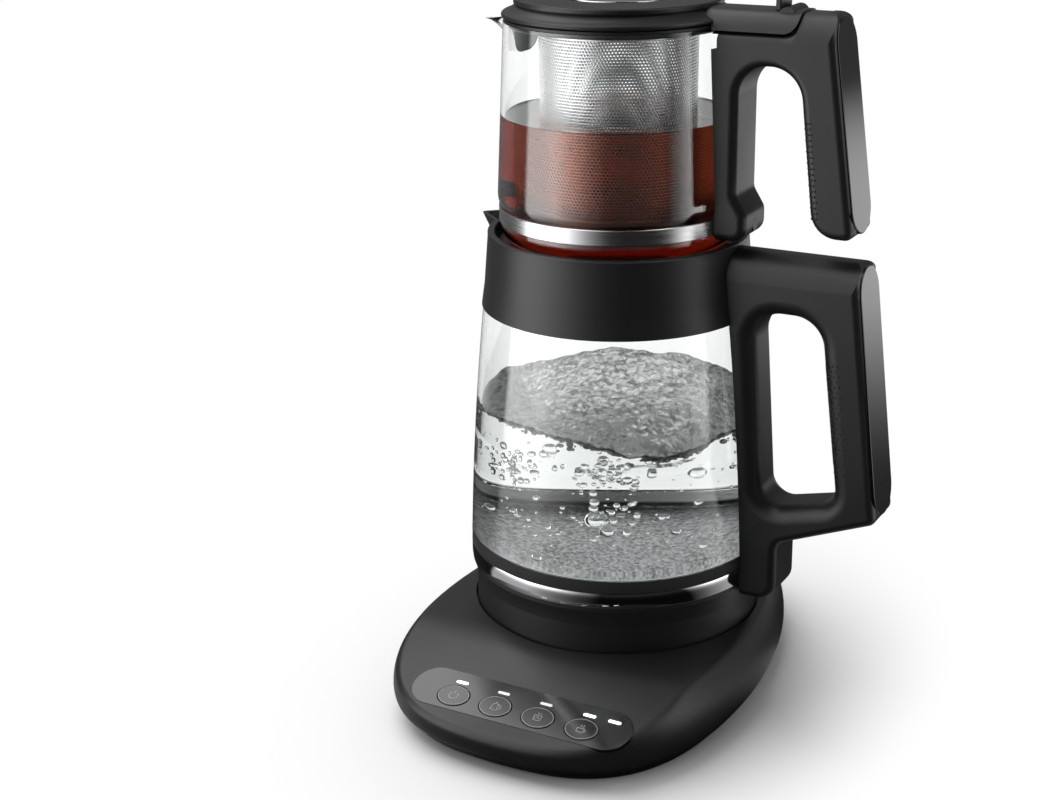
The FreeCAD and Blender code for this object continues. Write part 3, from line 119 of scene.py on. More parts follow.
class FinishColours(bpy.types.PropertyGroup):
    plastic: colour("Satin plastic", "Colour of the moulded black plastic", (0.011, 0.011, 0.0115))
    gloss: colour("Gloss black", "Colour of the panel, buttons and handle strips", (0.0035, 0.0035, 0.004))
    rubber: colour("Rubber", "Colour of seals, feet and grip pads", (0.010, 0.010, 0.010))
    steel: colour("Steel", "Colour of the brushed steel", (0.60, 0.60, 0.61))
    chrome: colour("Chrome", "Colour of the bright ring", (0.72, 0.72, 0.74))
    glass: colour("Glass", "Tint of the clear glass", (0.965, 0.98, 0.975))
    water: colour("Water", "Tint of the water", (0.98, 0.99, 0.99))
    tea: colour("Tea", "Tint of the brewed tea", (0.74, 0.34, 0.13))
    print_colour: colour("Print", "Colour of the symbols on the buttons", (0.30, 0.30, 0.31))
    lamp: colour("Indicator", "Colour of a lit indicator", (0.95, 0.97, 1.0))
    brass: colour("Brass", "Colour of the contacts", (0.72, 0.52, 0.20))
    board: colour("Board", "Colour of the circuit boards", (0.03, 0.16, 0.07))


class StudioSettings(bpy.types.PropertyGroup):
    backdrop: measure("Backdrop", "Brightness of the pale backdrop", 1.0)
    room: measure("Room", "Brightness of the dim studio in front of the object", 0.022)
    soft_light: measure("Soft light", "Even light from all round", 0.45)
    key: measure("Key", "Power of the large overhead light in watts", 24.0)
    cards: measure("Softboxes", "Brightness of the softboxes that glossy surfaces mirror", 3.6)
    top_card: measure("Top card", "Brightness of the softbox above the backdrop", 5.0)
    shadow_reach: length("Shadow reach", "Distance from the axis where the shadow ends", 230.0)
    focal_length: measure("Focal length", "Focal length of the camera in millimetres", 61.2)


# ---------------------------------------------------------------- materials
class NodeMaker:
    """Adds nodes to a tree. Each input is given as a value or as the socket that feeds it."""

    def __init__(self, tree):
        self.tree = tree

    def feed(self, node, inputs):
        for key, value in inputs.items() if isinstance(inputs, dict) else enumerate(inputs):
            if hasattr(value, "is_output"):
                self.tree.links.new(value, node.inputs[key])
            elif value is not None:
                node.inputs[key].default_value = value
        return node

    def node(self, kind, inputs=(), **values):
        node = self.tree.nodes.new(kind)
        for name, value in values.items():
            setattr(node, name, value)
        return self.feed(node, inputs)

    def math(self, operation, *inputs):
        return self.node("ShaderNodeMath", inputs, operation=operation).outputs[0]

    def dot(self, vector, direction):
        node = self.node("ShaderNodeVectorMath", (vector, tuple(direction)), operation="DOT_PRODUCT")
        return node.outputs["Value"]

    def length(self, vector):
        return self.node("ShaderNodeVectorMath", (vector,), operation="LENGTH").outputs["Value"]

    def spread(self, value, low, high, start=0.3, end=0.7, **values):
        """Takes the range from start to end to the range from low to high."""
        inputs = {"Value": value, "From Min": start, "From Max": end, "To Min": low, "To Max": high}
        return self.node("ShaderNodeMapRange", inputs, **values).outputs["Result"]

    def smooth(self, value, start, end, low, high):
        return self.spread(value, low, high, start, end, interpolation_type="SMOOTHSTEP")

    def blend(self, factor, *colours):
        """A colour between two others, each given as a socket or as three numbers."""
        first, second = (c if hasattr(c, "is_output") else (*c, 1.0) for c in colours)
        inputs = {"Factor": factor, "A": first, "B": second}
        return self.node("ShaderNodeMix", inputs, data_type="RGBA").outputs["Result"]

    def mirrored_studio(self, vector):
        """Brightness of the softboxes in the direction of a vector."""
        right = self.dot(vector, from_front(1, 0, 0))
        near = self.dot(vector, from_front(0, -1, 0))
        turn = self.math("MULTIPLY_ADD", self.math("ARCTAN2", right, near), 0.5 / math.pi, 0.5)
        ramp = self.node("ShaderNodeValToRGB", (turn,))
        elements = ramp.color_ramp.elements
        for azimuth, value in AZIMUTH_STOPS[1:-1]:
            elements.new(0.5 + azimuth / 360).color = (value, value, value, 1.0)
        for end in (0, -1):
            value = AZIMUTH_STOPS[end][1]
            elements[end].color = (value, value, value, 1.0)
        return ramp.outputs["Color"]

    def seen_through(self, path, camera_value, glossy_value, transmission_value, diffuse):
        """Chooses a brightness by what kind of ray looks."""
        level = diffuse
        for kind, value in (("Is Glossy Ray", glossy_value), ("Is Transmission Ray", transmission_value),
                            ("Is Camera Ray", camera_value)):
            level = self.node("ShaderNodeMix", (path.outputs[kind], None, level, value)).outputs[0]
        return level


class Finish(NodeMaker):
    """A material with one main shader."""

    def __init__(self, name, base, roughness, metallic=0.0):
        self.material = bpy.data.materials.new(name)
        self.material.use_nodes = True
        super().__init__(self.material.node_tree)
        self.base = base
        self.give({"Base Color": (*base, 1.0), "Roughness": roughness, "Metallic": metallic})

    def give(self, inputs):
        self.feed(self.tree.nodes["Principled BSDF"], inputs)

    def coordinates(self, scale=(1.0, 1.0, 1.0), turn=0.0):
        """Object coordinates, turned about the upright axis, then stretched along each axis by scale."""
        place = self.node("ShaderNodeTexCoord").outputs["Object"]
        if turn:
            place = self.node("ShaderNodeVectorRotate", {"Vector": place, "Angle": turn},
                              rotation_type="Z_AXIS").outputs["Vector"]
        return self.node("ShaderNodeMapping", {"Vector": place, "Scale": scale}).outputs["Vector"]

    def noise(self, scale, detail=3.0, stretch=(1.0, 1.0, 1.0), turn=0.0):
        inputs = {"Scale": scale, "Detail": detail, "Vector": self.coordinates(stretch, turn)}
        return self.node("ShaderNodeTexNoise", inputs).outputs["Fac"]

    def turned_noise(self, scale, detail, stretch):
        """Noise stretched away from the viewer's side, so that it looks even from a low angle."""
        return self.noise(scale, detail, (1.0, stretch, 1.0), -VIEW_TURN)

    def roughen(self, field, low, high, *limits):
        self.give({"Roughness": self.spread(field, low, high, *limits)})

    def wander(self, field, amount):
        """Lets the base colour wander a little around its value."""
        darker = [c * (1 - amount) for c in self.base]
        lighter = [min(1.0, c * (1 + amount)) for c in self.base]
        self.give({"Base Color": self.blend(field, darker, lighter)})

    def bump(self, height, distance):
        node = self.node("ShaderNodeBump", {"Distance": distance, "Height": height})
        self.give({"Normal": node.outputs["Normal"]})

    def see_through(self, refraction, share=1.0):
        self.give({"Transmission Weight": share, "IOR": refraction})


def satin_plastic(name, base):
    """Spark-eroded moulded plastic: fine grain, faint wandering of its gloss."""
    finish = Finish(name, base, 0.42)
    cloud = finish.noise(18.0)
    finish.roughen(cloud, 0.37, 0.47)
    finish.wander(cloud, 0.12)
    finish.bump(finish.noise(2600.0, 2.0), 0.00003)
    return finish.material


def gloss_plastic(name, base):
    finish = Finish(name, base, 0.07)
    finish.roughen(finish.noise(30.0), 0.05, 0.11)
    finish.wander(finish.noise(9.0), 0.10)
    finish.give({"IOR": 1.5})
    return finish.material


def soft_rubber(name, base):
    finish = Finish(name, base, 0.7)
    finish.wander(finish.noise(60.0), 0.2)
    finish.bump(finish.noise(1500.0, 4.0), 0.00006)
    return finish.material


def turned_steel(name, base):
    """Steel brushed round the object's upright axis."""
    finish = Finish(name, base, 0.26, 1.0)
    streaks = finish.noise(1.0, 4.0, (18.0, 18.0, 5200.0))
    finish.roughen(streaks, 0.19, 0.35)
    finish.wander(finish.noise(40.0), 0.06)
    finish.bump(streaks, 0.000015)
    return finish.material


def plate_steel(name, base):
    """The boiling plate: steel with patchy dullness, a painted mottled reflection of the bubbles above it, a
    dark band of painted shade at the bend, and a bright upright flange.
    """
    finish = Finish(name, base, 0.4, 1.0)
    dullness_and_reflection_field = finish.turned_noise(60.0, 8.0, 0.6)
    speck = finish.turned_noise(700.0, 6.0, 0.6)
    finish.roughen(dullness_and_reflection_field, 0.28, 0.55)
    # Painted reflection: light and dark mottling in the colour stands for the bubbles mirrored in the steel.
    reflection_mask = finish.math("MULTIPLY", finish.spread(speck, 0.1, 1.0, 0.35, 0.65),
                         finish.spread(dullness_and_reflection_field, 0.55, 1.0))
    painted_bubble_reflection = finish.blend(reflection_mask, [0.30 * c for c in base], [min(1.0, 1.7 * c) for c in base])
    height = finish.node("ShaderNodeSeparateXYZ", (finish.coordinates(),)).outputs["Z"]
    floor = dish_inside()[0]
    above_bend = finish.spread(height, 0.0, 1.0, floor + 2.4 * MM, floor + 3.6 * MM)
    # Painted shade: near-black steel at the bend between the floor and the flange, then bright steel up the
    # flange.
    bend_shade_and_flange = finish.blend(above_bend, (0.03, 0.03, 0.03), (0.95, 0.95, 0.96))
    above_floor = finish.spread(height, 0.0, 1.0, floor + 0.3 * MM, floor + 1.0 * MM)
    finish.give({"Base Color": finish.blend(above_floor, painted_bubble_reflection, bend_shade_and_flange)})
    finish.bump(speck, 0.0005)
    return finish.material


def polished_metal(name, base, roughness=0.05):
    finish = Finish(name, base, roughness, 1.0)
    finish.roughen(finish.noise(25.0), roughness, roughness + 0.05)
    finish.wander(finish.noise(6.0), 0.03)
    return finish.material


def cast_metal(name, base, roughness=0.45):
    finish = Finish(name, base, roughness, 1.0)
    finish.wander(finish.noise(90.0, 5.0), 0.15)
    finish.bump(finish.noise(900.0, 4.0), 0.00005)
    return finish.material


def clear_glass(name, base):
    finish = Finish(name, base, 0.0)
    finish.see_through(1.47)
    finish.roughen(finish.noise(12.0), 0.0, 0.015, 0.5, 0.8)
    return finish.material


def liquid(name, base, refraction, tint=None):
    """A clear liquid. With a tint, it darkens with the depth that the light goes through."""
    finish = Finish(name, base, 0.0)
    finish.see_through(refraction)
    finish.bump(finish.noise(30.0), 0.00002)
    if tint is not None:
        depth = finish.node("ShaderNodeVolumeAbsorption", {"Color": (*tint, 1.0), "Density": 78.0})
        output = next(node for node in finish.tree.nodes if node.type == "OUTPUT_MATERIAL")
        finish.feed(output, {"Volume": depth.outputs["Volume"]})
    return finish.material


def boiling_surface(name, base):
    """Water's surface at a rolling boil: broken by small waves, its colour going from near white where foam
    is to dark grey in patches and flecks of painted shade.
    """
    finish = Finish(name, base, 0.1)
    finish.see_through(WATER_REFRACTION, 0.80)
    # Painted shade: dark grey patches and flecks in the surface's colour.
    shade_patches = finish.spread(finish.turned_noise(70.0, 4.0, 0.45), 0.05, 0.60, 0.38, 0.60)
    shade_flecks = finish.spread(finish.turned_noise(330.0, 8.0, 0.45), 0.0, 1.0, 0.43, 0.57)
    foam_and_shade = finish.math("ADD", shade_patches, shade_flecks)
    finish.give({"Base Color": finish.blend(foam_and_shade, (0.08, 0.08, 0.083), base)})
    finish.bump(finish.turned_noise(400.0, 7.0, 0.45), 0.0040)
    return finish.material


def foam_in_painted_shade(name):
    """Foam coloured dark grey as painted shade, where real foam is pale: it lets little light through and
    glints.
    """
    finish = Finish(name, (0.22, 0.22, 0.23), 0.06)
    finish.see_through(WATER_REFRACTION, 0.85)
    finish.wander(finish.spread(finish.noise(600.0, 5.0), 0.0, 1.0), 0.85)
    finish.bump(finish.noise(520.0, 5.0), 0.0016)
    return finish.material


def glowing(name, base, strength):
    finish = Finish(name, base, 0.2)
    haze = finish.spread(finish.noise(300.0), strength * 0.92, strength)
    finish.give({"Emission Color": (*base, 1.0), "Emission Strength": haze})
    return finish.material


def printed(name, base):
    finish = Finish(name, base, 0.35)
    finish.wander(finish.noise(900.0), 0.15)
    return finish.material


def circuit_board(name, base):
    finish = Finish(name, base, 0.4)
    inputs = {"Scale": 350.0, "Vector": finish.coordinates((1.0, 1.0, 0.2))}
    tracks = finish.node("ShaderNodeTexVoronoi", inputs, feature="DISTANCE_TO_EDGE").outputs["Distance"]
    finish.wander(finish.spread(tracks, 0.0, 1.0, 0.02, 0.08), 0.35)
    return finish.material


# ---------------------------------------------------------------- mesh helpers
def add_object(name, data):
    thing = bpy.data.objects.new(name, data)
    bpy.context.scene.collection.objects.link(thing)
    return thing


def add_mesh(mesh, name, material):
    data = bpy.data.meshes.new(name)
    mesh.to_mesh(data)
    mesh.free()
    data.materials.append(material)
    return add_object(name, data)


def finish_piece(mesh, name, material, body, smooth_angle=35.0, keep_normals=False):
    """Turns a bmesh into a finished piece that rides on a body of the frame."""
    if not keep_normals:
        bmesh.ops.remove_doubles(mesh, verts=mesh.verts, dist=1e-7)
        bmesh.ops.recalc_face_normals(mesh, faces=mesh.faces)
    piece = add_mesh(mesh, name, material)
    for polygon in piece.data.polygons:
        polygon.use_smooth = True
    piece.data.set_sharp_from_angle(angle=math.radians(smooth_angle))
    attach(piece, body)
    return piece


def arc(start, middle, end, count):
    """Points of the circle's arc from start through middle to end, without the start."""
    (ax, ay), (bx, by), (cx, cy) = start, middle, end
    d = 2 * (ax * (by - cy) + bx * (cy - ay) + cx * (ay - by))
    ux = ((ax**2 + ay**2) * (by - cy) + (bx**2 + by**2) * (cy - ay) + (cx**2 + cy**2) * (ay - by)) / d
    uy = ((ax**2 + ay**2) * (cx - bx) + (bx**2 + by**2) * (ax - cx) + (cx**2 + cy**2) * (bx - ax)) / d
    radius = math.hypot(ax - ux, ay - uy)
    first = math.atan2(ay - uy, ax - ux)
    turn = math.atan2(cy - uy, cx - ux) - first
    turn_middle = (math.atan2(by - uy, bx - ux) - first) % (2 * math.pi)
    turn %= 2 * math.pi
    if turn_middle > turn:
        turn -= 2 * math.pi
    angles = [first + turn * i / count for i in range(1, count + 1)]
    return [(ux + radius * math.cos(angle), uy + radius * math.sin(angle)) for angle in angles]


def lathe(profile, steps, closed=True):
    """Spins a profile of (radius, height) points once round the upright axis."""
    mesh = bmesh.new()
    verts = [mesh.verts.new((radius, 0.0, height)) for radius, height in profile]
    edges = [mesh.edges.new(pair) for pair in zip(verts, verts[1:])]
    if closed:
        edges.append(mesh.edges.new((verts[-1], verts[0])))
    bmesh.ops.spin(mesh, geom=verts + edges, axis=(0, 0, 1), cent=(0, 0, 0), steps=steps,
                   angle=2 * math.pi, use_merge=True)
    bmesh.ops.remove_doubles(mesh, verts=mesh.verts, dist=1e-7)
    return mesh


def ring_points(radius, start, end, count, centre=(0.0, 0.0)):
    """Points of a circle's arc from start to end degrees, both included."""
    angles = [math.radians(start + (end - start) * i / count) for i in range(count + 1)]
    return [(centre[0] + radius * math.cos(angle), centre[1] + radius * math.sin(angle)) for angle in angles]


def verts_of(result):
    return [item for item in result["geom"] if isinstance(item, bmesh.types.BMVert)]


def smoothstep(value):
    value = min(1.0, max(0.0, value))
    return value * value * (3 - 2 * value)


def from_front(sideways, away, up):
    """A point given from the camera's side: to its right, away from it, and up."""
    x = sideways * math.cos(VIEW_TURN) - away * math.sin(VIEW_TURN)
    y = sideways * math.sin(VIEW_TURN) + away * math.cos(VIEW_TURN)
    return Vector((x, y, up))


# ---------------------------------------------------------------- kettle
def kettle_wall(offset, sizes, count=28):
    """Outer face of the kettle's glass, moved out by offset, from its foot to its top."""
    foot = (glass_high.x + offset, glass_low.z)
    belly = (sizes.belly_radius + offset, trim_low.z + 73.0 * MM)
    top = (sizes.top_radius + offset, glass_high.z)
    return [foot] + arc(foot, belly, top, count)


def wall_radius_at(points, height):
    for (r0, z0), (r1, z1) in zip(points, points[1:]):
        if z0 <= height <= z1:
            return r0 + (r1 - r0) * (height - z0) / (z1 - z0)
    return points[-1][0]


class TEA_OT_kettle_glass(bpy.types.Operator):
    """Makes the kettle's glass body."""
    bl_idname = "teamaker.kettle_glass"
    bl_label = "Kettle Glass"

    def execute(self, context):
        sizes = context.scene.kettle_sizes
        outer = kettle_wall(0.0, sizes)
        inner = kettle_wall(-sizes.glass_wall, sizes)
        mesh = lathe(outer + inner[::-1], 256)
        sharp_turn = 1.0
        edge = [e for e in mesh.edges if e.calc_face_angle(0.0) > sharp_turn]
        bmesh.ops.bevel(mesh, geom=edge, offset=0.7 * MM, segments=3, profile=0.5, affect="EDGES",
                        material=-1)
        tint = context.scene.finish_colours.glass
        glass = clear_glass("kettle_glass", tint)
        piece = finish_piece(mesh, "kettle_glass_body", glass, "kettle")
        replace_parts(piece, "kettle_glass")
        return {"FINISHED"}


# The waterline along the front of the glass: sideways and height in mm.
WATERLINE = (
    (-75, 149.0), (-61, 150.0), (-44, 150.7), (-20, 148.5), (-8, 145.5), (8, 141.5), (25, 139.5),
    (38, 141.5), (50, 145.0), (67, 142.0), (75, 143.0),
)
WATERLINE_MEAN = 147.5 * MM
WATERLINE_REACH = 74.9         # how far sideways the waterline is read, in mm
WAVE_DEPTH = 14 * MM           # the layer under the mean level that moves with the waves


def surface_height(sideways):
    """Height of the water along the front of the glass."""
    reach = max(-WATERLINE_REACH, min(WATERLINE_REACH, sideways / MM))
    for (x0, z0), (x1, z1) in zip(WATERLINE, WATERLINE[1:]):
        if reach <= x1:
            return (z0 + (z1 - z0) * smoothstep((reach - x0) / (x1 - x0))) * MM
    return WATERLINE[-1][1] * MM


def wave(x, y, height):
    """Height of the boiling water's surface over its mean level."""
    distance = math.hypot(x, y)
    if distance < 1e-6:
        return 0.0
    long_wave = noise.noise(Vector((x * 26.0 + 3.1, y * 26.0 - 1.7, 0.4)))
    chop = noise.noise(Vector((x * 85.0, y * 85.0, 2.3)))
    ripple = noise.noise(Vector((x * 240.0, y * 240.0, 5.1)))
    right = from_front(1, 0, 0)
    near = from_front(0, -1, 0)
    toward = (x * near.x + y * near.y) / distance
    back = smoothstep((distance - 0.02) / 0.04) * smoothstep(0.7 - toward)
    open_water = height * (0.9 * long_wave + 0.7 * back + 0.42 * chop + 0.2 * ripple)
    front = smoothstep((toward - 0.1) / 0.5) * smoothstep((distance - 0.04) / 0.03)
    along_front = surface_height(x * right.x + y * right.y) - WATERLINE_MEAN
    along_front += height * (0.16 * chop + 0.14 * ripple)
    return open_water * (1 - front) + along_front * front


def dish_inside():
    """Height of the steel dish's floor and the inner radius of its flange, a hair inside the steel."""
    sheet, hair = 0.8 * MM, 0.04 * MM
    return plate_low.z + sheet - hair, plate_high.x - sheet + hair


class TEA_OT_water(bpy.types.Operator):
    """Makes the boiling water in the kettle."""
    bl_idname = "teamaker.water"
    bl_label = "Water"

    def execute(self, context):
        sizes = context.scene.kettle_sizes
        level = sizes.water_level
        overlap = 0.25 * MM
        wall = kettle_wall(-sizes.glass_wall + overlap, sizes, 60)
        floor, dish = dish_inside()
        bend, rise = 2.2 * MM, 40
        halfway = 0.293 * bend   # how far the middle of the corner's arc stays from its tangents
        corner = arc((dish - bend, floor), (dish - halfway, floor + halfway), (dish, floor + bend), 6)
        bottom = glass_low.z + 0.1 * MM
        heights = [bottom + (level - bottom) * i / rise for i in range(rise + 1)]
        sides = [(dish - bend, floor)] + corner + [(dish, plate_high.z)]
        sides += [(wall_radius_at(wall, height), height) for height in heights]
        edge = sides[-1][0]
        rings = 110
        surface = [(edge * (1 - i / rings), level) for i in range(1, rings)]
        mesh = lathe([(0.0, floor)] + sides + surface + [(0.0, level)], 300, closed=False)
        for vert in mesh.verts:
            share = smoothstep((vert.co.z - (level - WAVE_DEPTH)) / WAVE_DEPTH)
            if share > 0:
                vert.co.z += share * wave(vert.co.x, vert.co.y, sizes.wave_height)
                reach = math.hypot(vert.co.x, vert.co.y)
                if reach > edge - 2 * MM:
                    new_reach = wall_radius_at(wall, vert.co.z) * reach / edge
                    vert.co.x *= new_reach / reach
                    vert.co.y *= new_reach / reach
        tint = context.scene.finish_colours.water
        water = liquid("water", tint, WATER_REFRACTION)
        piece = finish_piece(mesh, "kettle_water", water, "kettle", smooth_angle=60.0)
        piece.data.materials.append(boiling_surface("boiling_water", tint))
        for polygon in piece.data.polygons:
            if polygon.center.z > level - WAVE_DEPTH and polygon.normal.z > 0.25:
                polygon.material_index = 1
        self.foam_and_shade_line(context, wall_radius_at(wall, level) - 1.0 * MM)
        return {"FINISHED"}

    def foam_and_shade_line(self, context, reach):
        """The broken line of foam where the surface meets the front of the glass, dark grey as painted shade,
        thick at the front and thin at the back.
        """
        sizes = context.scene.kettle_sizes
        level = sizes.water_level
        circle = [(reach + 0.7 * x, level + z) for x, z in ring_points(MM, 0, 360, 10)[:-1]]
        mesh = lathe(circle, 420)
        near = from_front(0, -1, 0)
        for vert in mesh.verts:
            flat = Vector((vert.co.x, vert.co.y, 0))
            outward = flat.normalized()
            front = smoothstep((outward.dot(near) + 0.1) / 0.4)
            rough = noise.noise(outward * 9.0) + 0.7 * noise.noise(outward * 31.0)
            thick = 0.15 + front * max(0.15, 0.75 + rough)
            middle = outward * reach
            crest = level + wave(middle.x, middle.y, sizes.wave_height) - 0.3 * MM
            crest += front * 0.5 * MM * noise.noise(outward * 40.0)
            vert.co = middle + (flat - middle) * thick + Vector((0, 0, crest + (vert.co.z - level) * thick))
        finish_piece(mesh, "foam_and_shade_line", foam_in_painted_shade("foam_and_shade"), "kettle", smooth_angle=180.0)


# Bubble clusters near the front of the glass: middle (sideways, height), spread, count and largest radius,
# in mm.
BUBBLE_CLUSTERS = (
    ((-50, 129), (16, 13), 70, 2.6),
    ((-7, 131), (15, 9), 60, 2.8),
    ((58, 125), (8, 11), 22, 2.4),
    ((0, 108), (48, 10), 30, 2.4),
    ((-30, 98), (30, 14), 20, 2.0),
    ((30, 96), (30, 12), 14, 1.6),
)
FOAM_CLUSTERS = (
    ((26, 139), (17, 2.4), 26, 2.4),
    ((-18, 146), (10, 2), 16, 2.2),
    ((-45, 148), (16, 1), 12, 1.4),
    ((56, 141), (8, 2), 10, 1.6),
)
# Single large bubbles: sideways, height, radius and depth behind the glass, in mm.
LARGE_BUBBLES = (
    (-31, 141, 4.6, 1), (37, 128, 5.2, 2), (-10, 107, 5.8, 3), (-5, 100, 4.0, 8), (16, 131, 3.0, 4),
)


class TEA_OT_bubbles(bpy.types.Operator):
    """Scatters bubbles in the boiling water."""
    bl_idname = "teamaker.bubbles"
    bl_label = "Bubbles"

    def execute(self, context):
        sizes = context.scene.kettle_sizes
        chance = random.Random(11)
        mesh = bmesh.new()
        wall = kettle_wall(-sizes.glass_wall, sizes)
        self.clusters(mesh, chance, wall, BUBBLE_CLUSTERS, 9.0)
        for sideways, height, radius, depth in LARGE_BUBBLES:
            self.bubble(mesh, chance, wall, sideways * MM, height * MM, radius * MM, depth * MM)
        lowest, highest = dish_inside()[0] + MM, sizes.water_level - 9 * MM
        for _ in range(sizes.bubble_count):
            radius = sizes.largest_bubble * (0.12 + 0.5 * chance.random() ** 3)
            height = chance.uniform(lowest + radius, highest - radius)
            reach = chance.uniform(-66, 66) * MM
            self.bubble(mesh, chance, wall, reach, height, radius, chance.uniform(2, 90) * MM)
        material = liquid("bubble", context.scene.finish_colours.water, 1.5)
        finish_piece(mesh, "kettle_bubbles", material, "kettle", smooth_angle=180.0, keep_normals=True)
        # The foam bubbles take the foam's dark grey painted shade.
        foam_and_shade = bmesh.new()
        self.clusters(foam_and_shade, chance, wall, FOAM_CLUSTERS, 3.0)
        finish_piece(foam_and_shade, "foam_bubbles_shaded", foam_in_painted_shade("foam_bubble_shaded"), "kettle", smooth_angle=180.0,
                     keep_normals=True)
        return {"FINISHED"}

    def clusters(self, mesh, chance, wall, clusters, depth):
        """Bubbles scattered about the middles of the clusters, up to depth mm behind the glass."""
        for middle, spread_mm, count, largest in clusters:
            for _ in range(count):
                radius = largest * MM * (0.28 + 0.72 * chance.random() ** 1.6)
                sideways = chance.gauss(middle[0], spread_mm[0] * 0.5) * MM
                height = chance.gauss(middle[1], spread_mm[1] * 0.5) * MM
                self.bubble(mesh, chance, wall, sideways, height, radius, chance.uniform(0.3, depth) * MM)

    def bubble(self, mesh, chance, wall, sideways, height, radius, depth):
        """One flattened bubble, behind the front of the glass and inside the water."""
        low = dish_inside()[0] + radius + 0.5 * MM
        high = surface_height(sideways) - 0.8 * radius
        height = min(max(height, low), high)
        room = wall_radius_at(wall, height) - radius - 0.4 * MM
        sideways = min(max(sideways, -0.96 * room), 0.96 * room)
        across = math.sqrt(room ** 2 - sideways ** 2)
        toward = max(across - depth, -across)
        place = Matrix.Translation(from_front(sideways, -toward, height))
        turn = Matrix.Rotation(chance.uniform(0, math.pi), 4, "Z")
        turn = turn @ Matrix.Rotation(chance.uniform(-0.7, 0.7), 4, "X")
        squeeze = Matrix.Diagonal((1.0, chance.uniform(0.7, 1.0), chance.uniform(0.5, 0.85), 1.0))
        detail = 3 if radius > 1.6 * MM else 2
        bmesh.ops.create_icosphere(mesh, subdivisions=detail, radius=radius,
                                   matrix=place @ turn @ squeeze)


class TEA_OT_bright_rings(bpy.types.Operator):
    """Makes the kettle's chrome ring, the seal over it and the teapot's steel band."""
    bl_idname = "teamaker.bright_rings"
    bl_label = "Rings and Seal"

    def execute(self, context):
        colours = context.scene.finish_colours
        edge = 0.6 * MM
        corner = 0.18 * MM       # how far the middle of the rounded edge stays inside the sharp corner
        inner = trim_high.x - 3.6 * MM
        ring = lathe([
            (inner, trim_low.z), (trim_high.x - edge, trim_low.z),
            (trim_high.x - corner, trim_low.z + corner),
            (trim_high.x, trim_low.z + edge), (trim_high.x, trim_high.z - edge),
            (trim_high.x - corner, trim_high.z - corner), (trim_high.x - edge, trim_high.z),
            (inner, trim_high.z),
        ], 256)
        chrome = polished_metal("chrome_ring", colours.chrome)
        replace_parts(finish_piece(ring, "chrome_ring", chrome, "kettle"), "kettle_trim_ring")
        round_edge = 0.5 * MM
        back, top = seal_high.x - 3.5 * MM, seal_high.z - 0.1 * MM
        seal = lathe([
            (back, seal_low.z), (seal_high.x - round_edge, seal_low.z),
            (seal_high.x, seal_low.z + round_edge), (seal_high.x, seal_high.z - 1.5 * MM),
            (seal_high.x - 0.3 * MM, top), (back, top),
        ], 256)
        rubber = soft_rubber("seal_rubber", colours.rubber)
        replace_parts(finish_piece(seal, "bottom_seal", rubber, "kettle"), "kettle_bottom_seal")
        inner, edge = band_high.x - 0.8 * MM, 0.3 * MM
        band = lathe([
            (inner, band_low.z), (band_high.x - edge, band_low.z), (band_high.x, band_low.z + edge),
            (band_high.x, band_high.z - edge), (band_high.x - edge, band_high.z), (inner, band_high.z),
        ], 256)
        steel = turned_steel("band_steel", colours.steel)
        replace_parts(finish_piece(band, "pot_band", steel, "teapot"), "teapot_band")
        return {"FINISHED"}


# ---------------------------------------------------------------- teapot
# Radius and height over the foot of points on the teapot's outer face.
POT_FOOT_RADIUS = 49.0 * MM
POT_HEEL = (55.4 * MM, 3.6 * MM)
POT_BELLY = (59.4 * MM, 26.5 * MM)
POT_SHOULDER = (57.6 * MM, 63.5 * MM)
POT_NECK_RADIUS = 55.4 * MM


def pot_wall(offset):
    """Outer face of the teapot's glass, moved out by offset, from its foot's middle to its rim."""
    base = pot_low.z
    band = band_high.x - 0.9 * MM + offset
    low, waist = (band, band_low.z), (band, band_high.z)
    foot = (POT_FOOT_RADIUS, base - offset)
    heel = (POT_HEEL[0] + offset * 0.7, base + POT_HEEL[1] - offset * 0.7)
    belly = (POT_BELLY[0] + offset, base + POT_BELLY[1])
    flare = (belly[0] - 0.4 * MM, waist[1] + 2.6 * MM)
    shoulder = (POT_SHOULDER[0] + offset, base + POT_SHOULDER[1])
    rim = (POT_NECK_RADIUS + offset, pot_high.z)
    points = [(0.0, base - offset), foot] + arc(foot, heel, low, 12) + [waist]
    return points + arc(waist, flare, belly, 8) + arc(belly, shoulder, rim, 30)


def pull_spout(mesh, sizes):
    """Draws the rim out into a pouring lip towards -X."""
    rim = pot_high.z
    spout_height, lip_drop = 17.8 * MM, 3.3 * MM
    bottom = rim - spout_height
    for vert in mesh.verts:
        if vert.co.z < bottom or vert.co.x > 0:
            continue
        up = (vert.co.z - bottom) / (rim - bottom)
        half = sizes.spout_width * (0.35 + 0.65 * up)
        across = abs(vert.co.y) / half
        if across >= 1:
            continue
        middle = 1 - smoothstep(across)
        vert.co.x -= (sizes.spout_reach - POT_NECK_RADIUS) * up ** 1.3 * middle ** 1.15
        vert.co.z -= lip_drop * up ** 6 * middle


class TEA_OT_teapot_glass(bpy.types.Operator):
    """Makes the teapot's glass with its pouring lip."""
    bl_idname = "teamaker.teapot_glass"
    bl_label = "Teapot Glass"

    def execute(self, context):
        sizes = context.scene.teapot_sizes
        outer = pot_wall(0.0)
        inner = pot_wall(-sizes.glass_wall)
        rim = arc(outer[-1], (outer[-1][0] - sizes.glass_wall / 2, outer[-1][1] + 0.4 * MM), inner[-1], 6)
        mesh = lathe(outer + rim + inner[::-1][1:], 320, closed=False)
        bmesh.ops.recalc_face_normals(mesh, faces=mesh.faces)
        pull_spout(mesh, sizes)
        for vert in mesh.verts:
            vert.co.z = min(vert.co.z, pot_high.z)
        tint = context.scene.finish_colours.glass
        glass = clear_glass("teapot_glass", tint)
        piece = finish_piece(mesh, "teapot_glass_body", glass, "teapot", smooth_angle=60.0,
                             keep_normals=True)
        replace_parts(piece, "teapot_glass")
        return {"FINISHED"}


